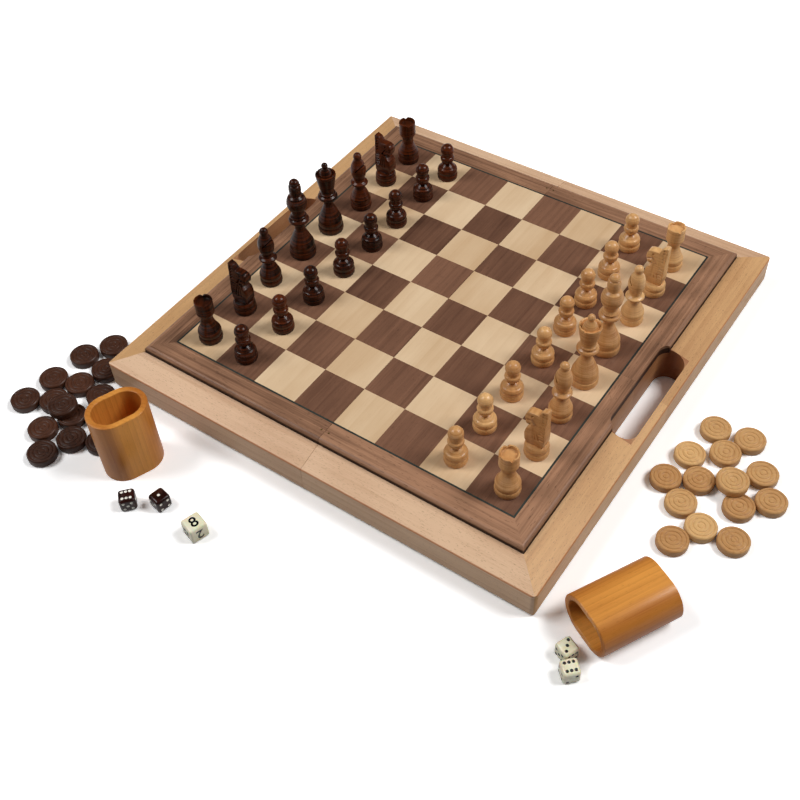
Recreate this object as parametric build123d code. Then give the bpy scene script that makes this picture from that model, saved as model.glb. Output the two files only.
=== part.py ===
"""Folding wooden games compendium box: chess, draughts and backgammon in one 15 inch case.

The case is two shallow trays hinged rim to rim. Laid open with the rims down it is a chessboard;
turned over it is a backgammon board; folded shut it carries the pieces between the two trays.

Frame, in millimetres: the origin is on the hinge axis, half way along it, in the plane of the rims.
+X points to the light side, +Y along the hinge line, +Z up to the playing surface.
"""
from build123d import *
import os
from math import cos, radians, sin, sqrt

# ---- chessboard ------------------------------------------------------------------------------
SQUARE = 37.5             # side of a chess square
SEAM_TRIM = 1.7           # what the saw took off the squares beside the seam
STRINGING_W = 1.5         # dark line round the squares
BORDER_W = 17.2           # walnut border, line to edge
BORDER_T = 8.0            # walnut border, thickness
BORDER_ROUND = 3.0        # rounded top edge of the border
VENEER_T = 0.8            # squares and stringing
SHADOW_GAP = 0.5          # between the border and the rails

# ---- case ------------------------------------------------------------------------------------
SEAM_GAP = 0.3            # daylight between the two halves
RIM_TO_BOARD = 34.5       # closing rim to playing surface
RAIL_SLOPE_W = 21.3       # sloping top of the rails, plan width
RAIL_TOP_DROP = 5.2       # playing surface to the rail's inner top edge
RAIL_EDGE_DROP = 11.0     # playing surface to the rail's outer top edge
RAIL_TOP_ROUND = 1.5      # arris along the outer top edge
RAIL_RIM_ROUND = 2.5      # arris along the outer bottom edge
CORNER_R = 4.0            # vertical outer corners
LEDGE_W = 7.0             # ledge inside the end rails that carries the border
SPINE_W = 10.0            # rail beside the seam
LINING_T = 1.0            # backgammon field, glued under the board panel

# ---- handle slots ----------------------------------------------------------------------------
SLOT_BAR = 6.0            # wood left outside the slot
SLOT_W = 21.0
SLOT_L = 95.0
SLOT_WALL = 7.0           # wood between the slot and the tray

# ---- backgammon field ------------------------------------------------------------------------
POINTS_PER_SIDE = 6       # in each half
POINT_L = 118.0
POINT_MARGIN = 2.5        # from the end rail to the base of a point
POINT_SPACE = 1.2         # between the bases of two points

# ---- hinges, screws, magnets, pads, brads ----------------------------------------------------
BARREL_R = 1.5
PIN_R = 0.70
PIN_CLEARANCE = 0.05      # radial, in the knuckles
PIN_HEAD_R = 1.2
PIN_HEAD_T = 0.6
LEAF_W = 9.0              # hinge axis to the leaf's edge
LEAF_L = 38.0
LEAF_T = 1.1
KNUCKLES = 5
KNUCKLE_GAP = 0.3
RUNNING_GAP = 0.35        # round the knuckles and beside moving wood
HINGE_Y = 110.0
SCREW_SHANK_R = 0.9
SCREW_HEAD_R = 1.7
SCREW_L = 9.0
SCREW_SLOT_W = 0.4
SCREW_SLOT_DEPTH = 0.4
SCREW_SPACING = 22.0
SCREW_CLEARANCE = 0.05
MAGNET_R = 4.0
MAGNET_T = 3.0
MAGNET_Y = 75.0
PAD_R = 5.0
PAD_Y = 140.0
BRAD_R = 0.7
BRAD_L = 12.0
BRAD_FROM_SEAM = 3.2

# ---- loose pieces ----------------------------------------------------------------------------
KING_H = 72.0             # the other men keep their proportion to the king
CHECKER_R = 11.25
CHECKER_T = 6.5
CHECKER_EDGE = 0.8        # chamfer
CHECKER_GROOVE = 0.5      # depth and half width of the turned rings
CHECKER_GAP = 0.4         # least gap between two lying side by side
CUP_L = 45.0              # long way across the mouth
CUP_W = 33.0
CUP_H = 59.0
CUP_WALL = 4.5
CUP_FLOOR = 6.0
CUP_ROUND = 1.6
CUP_TURN = 68.0           # degrees, the standing cup
LYING_CUP_TURN = 28.0     # degrees, the lying cup
DIE = 12.0
DIE_ROUND = 1.8
PIP_R = 0.95
PIP_DEPTH = 0.45
PIP_PITCH = 2.9
CUBE = 14.0
CUBE_ROUND = 1.2

# ---- where they lie: in from a side edge of the case, out from the front edge -----------------
DARK_DICE_IN = 91.2
DARK_DICE_OUT = 78.0
LIGHT_DICE_ASIDE = 30.0   # outside the light edge
LIGHT_DICE_OUT = 10.8
CUBE_IN = 148.4
CUBE_OUT = 70.0
LYING_CUP_GAP = 13.5      # case to cup
LYING_CUP_BACK = 31.0     # behind the front edge

# ---- worked out from the above ---------------------------------------------------------------
SEAM_X = SEAM_GAP / 2
FIELD_X = 4 * SQUARE - SEAM_TRIM
FIELD_Y = 4 * SQUARE
STRING_X = FIELD_X + STRINGING_W
STRING_Y = FIELD_Y + STRINGING_W
BORDER_X = STRING_X + BORDER_W
BORDER_Y = STRING_Y + BORDER_W
RAIL_X = BORDER_X + SHADOW_GAP
RAIL_Y = BORDER_Y + SHADOW_GAP
HALF_WIDTH = RAIL_X + RAIL_SLOPE_W
HALF_LENGTH = RAIL_Y + RAIL_SLOPE_W
LEDGE_Z = RIM_TO_BOARD - BORDER_T
RAIL_TOP_Z = RIM_TO_BOARD - RAIL_TOP_DROP
RAIL_EDGE_Z = RIM_TO_BOARD - RAIL_EDGE_DROP
CORE_TOP_Z = RIM_TO_BOARD - VENEER_T
CHECKER_PITCH = 2 * CHECKER_R + CHECKER_GAP
SLOT_X0 = HALF_WIDTH - SLOT_BAR - SLOT_W
SLOT_X1 = HALF_WIDTH - SLOT_BAR
TRAY_X0 = SEAM_X + SPINE_W
TRAY_X1 = SLOT_X0 - SLOT_WALL
TRAY_Y = RAIL_Y - LEDGE_W
MITRE_X = HALF_WIDTH - (HALF_LENGTH - TRAY_Y)
PAD_T = BARREL_R
FLOOR_Z = -PAD_T
PAD_X = (SLOT_X0 + HALF_WIDTH) / 2
TALL = 4 * RIM_TO_BOARD   # height of cutting blocks

SIDES = {"west": -1, "east": 1}
ENDS = {"near": -1, "far": 1}


# ---- helpers ---------------------------------------------------------------------------------
def block(x0, x1, y0, y1, z0, z1):
    """A box between two corners."""
    size = Box(x1 - x0, y1 - y0, z1 - z0, align=(Align.MIN, Align.MIN, Align.MIN))
    return Pos(x0, y0, z0) * size


def rod(x, y, z0, z1, radius):
    """An upright cylinder between two heights."""
    return Pos(x, y, z0) * Cylinder(radius, z1 - z0, align=(Align.CENTER, Align.CENTER, Align.MIN))


def prism(points, z0, z1):
    """An upright prism over a plan outline."""
    outline = make_face(Polyline(*points, close=True))
    return Pos(0, 0, z0) * extrude(outline, amount=z1 - z0)


def on_side(shape, side):
    """Everything is drawn for the east half; the west half is its mirror image."""
    return shape if side == "east" else mirror(shape, about=Plane.YZ)


def at_end(shape, end):
    """The rails and borders are drawn for the far end; the near end is the mirror image."""
    return shape if end == "far" else mirror(shape, about=Plane.XZ)


def turned(start, moves, ball=None):
    """A lathe shape about +Z, from a radius and height on its foot.

    A move is (r, z) for a straight cut or (rm, zm, r, z) for an arc through a middle point. A ball
    is (radius, top height): a knob on the last radius, in place of a flat top.
    """
    here = start
    edges = [Line((0, start[1]), start)]
    for move in moves:
        if len(move) == 2:
            edges.append(Line(here, move))
        else:
            edges.append(ThreePointArc(here, move[:2], move[2:]))
        here = move[-2:]
    top = (0, here[1])
    if ball:
        radius, height = ball
        centre = height - radius
        root = (here[0], centre - sqrt(radius ** 2 - here[0] ** 2))
        top = (0, height)
        edges += [Line(here, root), ThreePointArc(root, (radius, centre), top)]
    else:
        edges.append(Line(here, top))
    edges.append(Line(top, (0, start[1])))
    return revolve(Plane.XZ * make_face(edges), axis=Axis.Z)


def stadium(length, width, height):
    """A round-ended block, long way along X, standing on z = 0."""
    return extrude(SlotOverall(length, width), amount=height)


def write(name, solids):
    """Write one node: a single solid or a group of separate solids."""
    group = list(solids) if isinstance(solids, (list, tuple)) else [solids]
    pieces = [solid for shape in group for solid in shape.solids()]
    node = pieces[0] if len(pieces) == 1 else Compound(children=pieces)
    export_step(node, f"parts/{name}.step")


# ---- case rails ------------------------------------------------------------------------------
def rail_section(inner, ledge_edge, outer):
    """Section of a rail: ledge inside, sloping top outside. X is outward, Y is up."""
    points = [
        (inner, 0),
        (outer, 0),
        (outer, RAIL_EDGE_Z),
        (ledge_edge, RAIL_TOP_Z),
        (ledge_edge, LEDGE_Z),
        (inner, LEDGE_Z),
    ]
    section = make_face(Polyline(*points, close=True))
    corners = section.vertices().group_by(Axis.X)[-1].sort_by(Axis.Y)
    section = fillet(corners[0], RAIL_RIM_ROUND)
    corner = section.vertices().sort_by_distance((outer, RAIL_EDGE_Z))[0]
    return fillet(corner, RAIL_TOP_ROUND)


def rounded_plan():
    """Outer plan of the half case, with its two rounded corners, as a tall block."""
    plan = block(-HALF_WIDTH, HALF_WIDTH, -HALF_LENGTH, HALF_LENGTH, -1, RAIL_TOP_Z + 1)
    return fillet(plan.edges().filter_by(Axis.Z), CORNER_R)


def barrel_pocket(y):
    """Mortise for one hinge leaf and the room its knuckles turn in."""
    half = LEAF_L / 2
    knuckle = BARREL_R + RUNNING_GAP
    end = half + PIN_HEAD_T + RUNNING_GAP
    leaf = block(0, LEAF_W, y - half, y + half, 0, LEAF_T)
    return leaf + block(0, knuckle, y - end, y + end, 0, knuckle)


def end_rail():
    """Far end rail: sloping top, ledge for the border, mitred into the handle rail."""
    section = rail_section(TRAY_Y, RAIL_Y, HALF_LENGTH)
    rail = Pos(SEAM_X, 0, 0) * extrude(Plane.YZ * section, amount=HALF_WIDTH - SEAM_X)
    plan = [(0, TRAY_Y), (MITRE_X, TRAY_Y), (HALF_WIDTH, HALF_LENGTH), (0, HALF_LENGTH)]
    rail = rail & prism(plan, 0, RAIL_TOP_Z)
    return rail & rounded_plan()


def handle_rail():
    """Outer rail of a half: mitred at both ends, with the long finger slot through it."""
    section = rail_section(TRAY_X1, RAIL_X, HALF_WIDTH)
    rail = extrude(Plane.XZ * section, amount=HALF_LENGTH, both=True)
    plan = [
        (TRAY_X1, -TRAY_Y),
        (MITRE_X, -TRAY_Y),
        (HALF_WIDTH, -HALF_LENGTH),
        (HALF_WIDTH, HALF_LENGTH),
        (MITRE_X, TRAY_Y),
        (TRAY_X1, TRAY_Y),
    ]
    rail = rail & prism(plan, 0, RAIL_TOP_Z)
    rail = rail & rounded_plan()
    rail -= handle_slot()
    for y in (-MAGNET_Y, MAGNET_Y):
        rail -= rod(magnet_x(), y, 0, MAGNET_T, MAGNET_R + SCREW_CLEARANCE)
    return rail


def handle_slot():
    """The finger slot, as the block of wood that was cut away."""
    slot = Rot(0, 0, 90) * stadium(SLOT_L, SLOT_W, TALL)
    return Pos((SLOT_X0 + SLOT_X1) / 2, 0, -TALL / 2) * slot


def spine_rail():
    """Rail beside the seam, between the end rails, with the hinge mortises in its rim."""
    rail = block(SEAM_X, TRAY_X0, -TRAY_Y, TRAY_Y, 0, LEDGE_Z)
    for y in (-HINGE_Y, HINGE_Y):
        rail -= barrel_pocket(y)
        for x, spot in screw_spots(y):
            rail -= Pos(x, spot, 0) * screw_blank(SCREW_CLEARANCE)
    for end in ENDS:
        rail -= at_end(brad_tool(SCREW_CLEARANCE), end)
    return rail


# ---- board panel -----------------------------------------------------------------------------
def core_panel():
    """Plywood core of the board, from the seam to the stringing's outer edge."""
    return block(SEAM_X, STRING_X, -STRING_Y, STRING_Y, LEDGE_Z, CORE_TOP_Z)


def stringing():
    """Dark line on three sides of the squares."""
    outer = block(SEAM_X, STRING_X, -STRING_Y, STRING_Y, CORE_TOP_Z, RIM_TO_BOARD)
    return outer - block(0, FIELD_X, -FIELD_Y, FIELD_Y, CORE_TOP_Z, RIM_TO_BOARD)


def squares(side, light):
    """The light or the dark squares of one half, one veneer each."""
    tiles = []
    for column in range(4):
        x0 = SEAM_X if column == 0 else column * SQUARE - SEAM_TRIM
        x1 = (column + 1) * SQUARE - SEAM_TRIM
        for row in range(8):
            parity = (column + row) % 2 == (0 if side == "east" else 1)
            if parity == light:
                y0 = (row - 4) * SQUARE
                tiles.append(block(x0, x1, y0, y0 + SQUARE, CORE_TOP_Z, RIM_TO_BOARD))
    return [on_side(tile, side) for tile in tiles]


def border_section(inner, outer):
    """Section of the walnut border: square inside, rounded top edge outside."""
    section = Pos((inner + outer) / 2, LEDGE_Z + BORDER_T / 2) * Rectangle(outer - inner, BORDER_T)
    corner = section.vertices().sort_by_distance((outer, RIM_TO_BOARD))[0]
    return fillet(corner, BORDER_ROUND)


def end_border():
    """Walnut border along the far end, mitred at the outer corner."""
    section = border_section(STRING_Y, BORDER_Y)
    strip = Pos(SEAM_X, 0, 0) * extrude(Plane.YZ * section, amount=BORDER_X - SEAM_X)
    plan = [(0, STRING_Y), (STRING_X, STRING_Y), (BORDER_X, BORDER_Y), (0, BORDER_Y)]
    strip = strip & prism(plan, LEDGE_Z, RIM_TO_BOARD)
    return strip - brad_tool(SCREW_CLEARANCE)


def side_border():
    """Walnut border beside the handle, mitred at both ends and notched by the slot."""
    section = border_section(STRING_X, BORDER_X)
    strip = extrude(Plane.XZ * section, amount=BORDER_Y, both=True)
    plan = [(STRING_X, -STRING_Y), (BORDER_X, -BORDER_Y), (BORDER_X, BORDER_Y), (STRING_X, STRING_Y)]
    strip = strip & prism(plan, LEDGE_Z, RIM_TO_BOARD)
    return strip - handle_slot()


# ---- backgammon field ------------------------------------------------------------------------
def point_wedges(light):
    """The light or the dark points of the east half, as triangular veneers."""
    pitch = (TRAY_X1 - TRAY_X0) / POINTS_PER_SIDE
    base_y = TRAY_Y - POINT_MARGIN
    wedges = []
    for number in range(POINTS_PER_SIDE):
        x0 = TRAY_X0 + number * pitch + POINT_SPACE / 2
        x1 = x0 + pitch - POINT_SPACE
        for end in (-1, 1):
            if (number % 2 == 0) == (light == (end > 0)):
                base = end * base_y
                tip = ((x0 + x1) / 2, base - end * POINT_L)
                corners = [(x0, base), (x1, base), tip]
                wedges.append(prism(corners, LEDGE_Z - LINING_T, LEDGE_Z))
    return wedges


def tray_lining():
    """Veneer lining of the tray, with the points let into it."""
    lining = block(TRAY_X0, TRAY_X1, -TRAY_Y, TRAY_Y, LEDGE_Z - LINING_T, LEDGE_Z)
    for wedge in point_wedges(True) + point_wedges(False):
        lining -= wedge
    return lining


# ---- hinges and fixings ----------------------------------------------------------------------
def screw_blank(grow):
    """A countersunk screw, head down at z = 0; grow widens it into its clearance hole."""
    cone_h = SCREW_HEAD_R - SCREW_SHANK_R
    head = Cone(
        SCREW_HEAD_R + grow, SCREW_SHANK_R + grow, cone_h, align=(Align.CENTER, Align.CENTER, Align.MIN)
    )
    return head + rod(0, 0, cone_h, SCREW_L + grow, SCREW_SHANK_R + grow)


def screw():
    """A slotted countersunk brass wood screw."""
    half = SCREW_SLOT_W / 2
    slot = block(-SCREW_HEAD_R, SCREW_HEAD_R, -half, half, 0, SCREW_SLOT_DEPTH)
    return screw_blank(0) - slot


def screw_spots(y):
    """Plan positions of the two screws of the leaf at y."""
    x = (BARREL_R + LEAF_W) / 2 + RUNNING_GAP
    return [(x, y - SCREW_SPACING / 2), (x, y + SCREW_SPACING / 2)]


def barrel(radius, y0, y1):
    """A cylinder about the hinge axis."""
    tube = Cylinder(radius, y1 - y0, align=(Align.CENTER, Align.CENTER, Align.MAX))
    return Pos(0, y0, 0) * Rot(90, 0, 0) * tube


def hinge_leaf(y, side):
    """One brass leaf: plate, every other knuckle, bored for the pin, countersunk."""
    pitch = LEAF_L / KNUCKLES
    start = y - LEAF_L / 2
    leaf = block(BARREL_R + RUNNING_GAP, LEAF_W, start, start + LEAF_L, 0, LEAF_T)
    first = 0 if side == "west" else 1
    for number in range(first, KNUCKLES, 2):
        y0 = start + number * pitch + (KNUCKLE_GAP / 2 if number > 0 else 0)
        y1 = start + (number + 1) * pitch - (KNUCKLE_GAP / 2 if number < KNUCKLES - 1 else 0)
        leaf += block(0, BARREL_R + 2 * RUNNING_GAP, y0, y1, 0, LEAF_T) + barrel(BARREL_R, y0, y1)
    leaf -= barrel(PIN_R + PIN_CLEARANCE, start - 1, start + LEAF_L + 1)
    for x, spot in screw_spots(y):
        leaf -= Pos(x, spot, 0) * screw_blank(SCREW_CLEARANCE)
    return leaf


def hinge_pin(y):
    """Steel pin with a thin head at each end of the barrel."""
    half = LEAF_L / 2
    pin = barrel(PIN_R, y - half - PIN_HEAD_T, y + half + PIN_HEAD_T)
    gap = PIN_CLEARANCE
    near_head = barrel(PIN_HEAD_R, y - half - PIN_HEAD_T, y - half - gap)
    far_head = barrel(PIN_HEAD_R, y + half + gap, y + half + PIN_HEAD_T)
    return pin + near_head + far_head


def magnet_x():
    """Closing magnets sit in the middle of the handle rail's rim."""
    return (TRAY_X1 + HALF_WIDTH) / 2


def brad_tool(grow):
    """The far border brad of a half, beside the seam; grow widens it into its hole."""
    y = (STRING_Y + BORDER_Y) / 2
    return rod(BRAD_FROM_SEAM, y, RIM_TO_BOARD - BRAD_L - grow, RIM_TO_BOARD, BRAD_R + grow)


# ---- chessmen: drawn in hundredths of the king's height --------------------------------------
def pawn():
    """Pawn: ringed foot, waisted stem, collar and ball."""
    return turned((11.6, 0), [
        (12.1, 2.4, 11.8, 6.6), (11.2, 7.2), (11.3, 8.8), (11.8, 12, 10.3, 15.2), (9.5, 15.5),
        (7, 18, 4, 20.2), (6.7, 22.8, 8, 27), (8.1, 28.9, 6.5, 30.6),
    ], ball=(7.8, 46.5))


def rook():
    """Rook: turned tower with a hollow top and four embrasures."""
    tower = turned((12.3, 0), [
        (12.9, 2.6, 12.6, 6.8), (11.9, 7.5), (12, 8.6), (12.6, 11, 11.3, 15.8), (9, 20.6, 7, 26.6),
        (6.6, 30.6, 7.2, 35.2), (8, 35.9), (9.5, 38, 9.7, 41), (9.8, 53.8), (9.7, 54.9), (8.1, 54.9),
        (8, 51),
    ])
    cut = Box(25, 3.2, 5, align=(Align.CENTER, Align.CENTER, Align.MIN))
    for angle in (45, 135):
        tower -= Pos(0, 0, 51.8) * Rot(0, 0, angle) * cut
    return tower


def knight():
    """Knight looking along +X: turned foot, flat-sided carved head that narrows to the ears."""
    foot = turned((12, 0), [
        (12.5, 2.4, 12.2, 6.4), (11.5, 7.1), (11.6, 8.2), (12.2, 10.6, 11.2, 14), (10.2, 15.4),
    ])
    mane = [(-8.2, 15), (-9.6, 18.6), (-10, 30.6), (-9.7, 47.2), (-10.6, 64.2), (-9.4, 65.6), (-3.8, 63.1)]
    face = [(-1.2, 57.2), (1.8, 57.6), (7.8, 57), (11.2, 55.2), (12.4, 50.6), (11.8, 46.1), (10, 42.5)]
    chest = [(6.7, 41.9), (4.7, 43.3), (5.8, 39.2), (10, 35.6), (11.4, 29.2), (10.8, 20.2), (8.2, 15)]
    profile = make_face(Polyline(*mane, *face, *chest, close=True))
    head = extrude(Plane.XZ * profile, amount=6.4, both=True)
    taper = [(-5.6, 15), (-6.4, 19), (-6.4, 36), (-3.3, 66), (3.3, 66), (6.4, 36), (6.4, 19), (5.6, 15)]
    front = make_face(Polyline(*taper, close=True))
    return foot + (head & extrude(Plane.YZ * front, amount=20, both=True))


def bishop():
    """Bishop: collar, slit mitre and bead."""
    body = turned((11.9, 0), [
        (12.4, 2.4, 12.1, 6.4), (11.4, 7.1), (11.5, 8.2), (12.2, 11, 10.9, 16.2), (8.8, 21.4, 6, 27.2),
        (5.5, 29.4, 5.6, 31.6), (8.6, 32.7), (10.1, 34.4, 8.6, 36.2), (6.6, 37.6), (6.4, 41),
        (9, 52.4, 4.3, 66.4),
    ], ball=(4.8, 75.2))
    return body - Pos(5.9, 0, 58.6) * Rot(0, -50, 0) * Box(12.5, 22, 1.1)


def queen():
    """Queen: double collar, open coronet with four nicks, dome and bead."""
    body = turned((14.1, 0), [
        (14.7, 2.6, 14.4, 7.2), (13.6, 7.9), (13.7, 9.1), (13.9, 13.4, 11.6, 21), (8.8, 28.4, 5.6, 35.4),
        (5.2, 39.6, 5.8, 43.6), (9.9, 45.2), (11.4, 47.4, 10, 49.6), (8.2, 50.6), (9.3, 52.1, 8.1, 53.6),
        (7.8, 56.4), (9, 62), (10.1, 68, 11.5, 76.2), (11.3, 78.4), (9.6, 78.2), (8.2, 75.6),
        (6.4, 79.8, 3.2, 84.6),
    ], ball=(3.7, 92.4))
    nick = Box(28, 1.4, 4.2, align=(Align.CENTER, Align.CENTER, Align.MIN))
    coronet = rod(0, 0, 75.8, 80.2, 13) - rod(0, 0, 75.8, 80.2, 8.9)
    for angle in (0, 90):
        body -= (Pos(0, 0, 76) * Rot(0, 0, angle) * nick) & coronet
    return body


def king():
    """King: double collar, round crown and a thimble-shaped knob."""
    return turned((14.6, 0), [
        (15.1, 2.8, 14.8, 8.6), (14, 9.4), (14.1, 10.8), (14.3, 14, 12.1, 21.4), (9.1, 28.4, 6, 35.6),
        (5.6, 40, 6.2, 45), (10.2, 46.8), (11.5, 49.2, 10.2, 51.6), (8.4, 52.6), (9.4, 54.3, 8.3, 56),
        (6.9, 58.4), (7.4, 61.8), (11.3, 72.4, 9, 80.6), (7.2, 81.8), (5.8, 82.8), (6.8, 89, 6.4, 95.2),
        (5.3, 96.2),
    ], ball=(5.7, 102.9))


BACK_RANK = ["rook", "knight", "bishop", "king", "queen", "bishop", "knight", "rook"]
MEN = {"pawn": pawn, "rook": rook, "knight": knight, "bishop": bishop, "queen": queen, "king": king}


# The men are set down by hand, a little off the centres of their squares: along X and Y, row by row.
STRAY = {
    ("west", 2): [
        (-1.3, -3.4), (2.5, -1.1), (2.8, -0.5), (3.9, 0.5), (5.3, 0), (5.4, -2.4), (4.9, 0.5), (7.5, -2.6),
    ],
    ("west", 3): [
        (-0.3, -1.9), (1.8, -0.9), (-1.5, -1.9), (-0.7, 0.9), (0.2, 0.2), (4, 0.3), (2.9, 1.5),
        (2.2, -0.2),
    ],
    ("east", 2): [
        (-1.1, 0.3), (0.1, -1.6), (0.5, -3), (2.3, 0.7), (0.6, -0.3), (-0.6, -3), (-0.2, -3), (-1.7, -2.6),
    ],
    ("east", 3): [
        (4.3, -2.5), (4.4, -1.7), (1.6, -1.5), (-0.1, -0.6), (-2.1, -1.4), (0.3, -1.1), (0.4, -1.7),
        (-1.4, -5.2),
    ],
}


def chess_places(side, kind):
    """Where the men of one kind stand at the start of play."""
    column = 2 if kind == "pawn" else 3
    x = SIDES[side] * ((column + 0.5) * SQUARE - SEAM_TRIM)
    order = BACK_RANK if side == "west" else BACK_RANK[:3] + ["queen", "king"] + BACK_RANK[5:]
    rows = range(8) if kind == "pawn" else [row for row in range(8) if order[row] == kind]
    stray = STRAY[side, column]
    return [(x + stray[row][0], (row - 3.5) * SQUARE + stray[row][1]) for row in rows]


def chessmen(side, kind):
    """All the men of one kind and colour, each side looking across the seam."""
    turn = 0 if side == "west" else 180
    man = Rot(0, 0, turn) * scale(MEN[kind](), by=KING_H / 100)
    return [Pos(x, y, RIM_TO_BOARD) * man for x, y in chess_places(side, kind)]


# ---- draughts --------------------------------------------------------------------------------
def checker():
    """One draughtsman, with turned rings on both faces."""
    solid = rod(0, 0, 0, CHECKER_T, CHECKER_R)
    solid = chamfer(solid.edges().filter_by(GeomType.CIRCLE), CHECKER_EDGE)
    for share in (0.78, 0.5, 0.22):
        outer = share * CHECKER_R + CHECKER_GROOVE
        inner = share * CHECKER_R - CHECKER_GROOVE
        ring = rod(0, 0, 0, CHECKER_GROOVE, outer) - rod(0, 0, 0, CHECKER_GROOVE, inner)
        solid -= ring + Pos(0, 0, CHECKER_T - CHECKER_GROOVE) * ring
    return solid


# Places in checker pitches from the heap's corner; the last one lies on top of its neighbours.
LIGHT_HEAP = [
    (1.45, 0.73), (2.55, 0.88), (1.20, -0.66), (2.11, -0.02), (0.96, -1.89), (1.86, -1.43), (3.40, -0.18),
    (1.76, -2.51), (3.28, -1.72), (4.02, -1.02), (2.64, -3.01), (2.14, -3.89), (3.65, -2.95),
    (2.71, -0.91), (2.79, -1.14),
]
DARK_HEAP = [
    (-1.18, 1.23), (-1.73, 0.33), (-1.84, -1.02), (-0.60, 0.25), (-0.89, -0.71), (-1.95, -2.22),
    (0.12, -0.71), (-1.08, -1.72), (-0.07, -1.88), (-0.49, -2.80), (0.64, -2.59), (0.25, -3.53),
    (1.53, -2.14), (0.82, -1.43), (-0.43, -1.86),
]


def heap(spots, corner_x, corner_y):
    """Checkers scattered flat on the table, and one that lies on top of the others."""
    men = []
    for number, (across, along) in enumerate(spots):
        z = FLOOR_Z + (CHECKER_T if number == len(spots) - 1 else 0)
        men.append(Pos(corner_x + across * CHECKER_PITCH, corner_y + along * CHECKER_PITCH, z) * checker())
    return men


# ---- cups, dice, doubling cube ---------------------------------------------------------------
def dice_cup():
    """Round-ended dice cup, mouth up, standing on z = 0."""
    cup = stadium(CUP_L, CUP_W, CUP_H)
    cup = fillet(cup.edges().filter_by(GeomType.LINE, reverse=True).group_by(Axis.Z)[0], CUP_ROUND)
    hollow = stadium(CUP_L - 2 * CUP_WALL, CUP_W - 2 * CUP_WALL, CUP_H)
    return cup - Pos(0, 0, CUP_FLOOR) * hollow


PIP_LAYOUT = {
    1: [(0, 0)],
    2: [(-1, -1), (1, 1)],
    3: [(-1, -1), (0, 0), (1, 1)],
    4: [(-1, -1), (-1, 1), (1, -1), (1, 1)],
    5: [(-1, -1), (-1, 1), (0, 0), (1, -1), (1, 1)],
    6: [(-1, -1), (0, -1), (1, -1), (-1, 1), (0, 1), (1, 1)],
}


def die(top, front):
    """A die about its centre, with the given top face and the given face towards -Y."""
    cube = fillet(Box(DIE, DIE, DIE).edges(), DIE_ROUND)
    third = next(n for n in range(1, 7) if n not in (top, 7 - top, front, 7 - front))
    frames = {
        top: Rot(0, 0, 0), 7 - top: Rot(180, 0, 0), front: Rot(90, 0, 0), 7 - front: Rot(-90, 0, 0),
        third: Rot(0, 90, 0), 7 - third: Rot(0, -90, 0),
    }
    ball = (PIP_R ** 2 + PIP_DEPTH ** 2) / (2 * PIP_DEPTH)
    height = DIE / 2 + ball - PIP_DEPTH
    for number, frame in frames.items():
        for across, along in PIP_LAYOUT[number]:
            cube -= frame * Pos(across * PIP_PITCH, along * PIP_PITCH, height) * Sphere(ball)
    return cube


def on_table(shape, height, x, y, turn):
    """Stand a centred shape of the given height on the table."""
    return Pos(x, y, FLOOR_Z + height / 2) * Rot(0, 0, turn) * shape


def upright_cup():
    """Dark player's cup, standing against the last checker of the dark heap."""
    reach = (CUP_L - CUP_W) / 2 * cos(radians(CUP_TURN)) + CUP_W / 2
    across, along = DARK_HEAP[12]
    x = -HALF_WIDTH + across * CHECKER_PITCH + CHECKER_R + CHECKER_GAP + reach
    y = -HALF_LENGTH + (along + 0.13) * CHECKER_PITCH
    return Pos(x, y, FLOOR_Z) * Rot(0, 0, CUP_TURN) * dice_cup()


def lying_cup():
    """Light player's cup, lying on its flat side with the mouth to the front."""
    turn = radians(LYING_CUP_TURN)
    x = HALF_WIDTH + LYING_CUP_GAP + CUP_H / 2 * sin(turn) + CUP_L / 2 * cos(turn)
    y = -HALF_LENGTH + LYING_CUP_BACK
    centred = Pos(0, 0, -CUP_H / 2) * dice_cup()
    return on_table(Rot(90, 0, 0) * centred, CUP_W, x, y, -LYING_CUP_TURN)


def dark_dice():
    """Two dark dice in front of the case."""
    x = -HALF_WIDTH + DARK_DICE_IN
    y = -HALF_LENGTH - DARK_DICE_OUT
    first = on_table(die(6, 5), DIE, x, y, 48)
    second = on_table(die(1, 4), DIE, x + 1.65 * DIE, y + 1.05 * DIE, 79)
    return [first, second]


def light_dice():
    """Two ivory dice by the lying cup."""
    x = HALF_WIDTH + LIGHT_DICE_ASIDE
    y = -HALF_LENGTH - LIGHT_DICE_OUT
    first = on_table(die(3, 6), DIE, x, y, 66)
    second = on_table(die(6, 2), DIE, x + 0.70 * DIE, y - 0.96 * DIE, 46)
    return [first, second]


def doubling_cube():
    """The backgammon doubling cube."""
    cube = fillet(Box(CUBE, CUBE, CUBE).edges(), CUBE_ROUND)
    return on_table(cube, CUBE, -HALF_WIDTH + CUBE_IN, -HALF_LENGTH - CUBE_OUT, 73)


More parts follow.
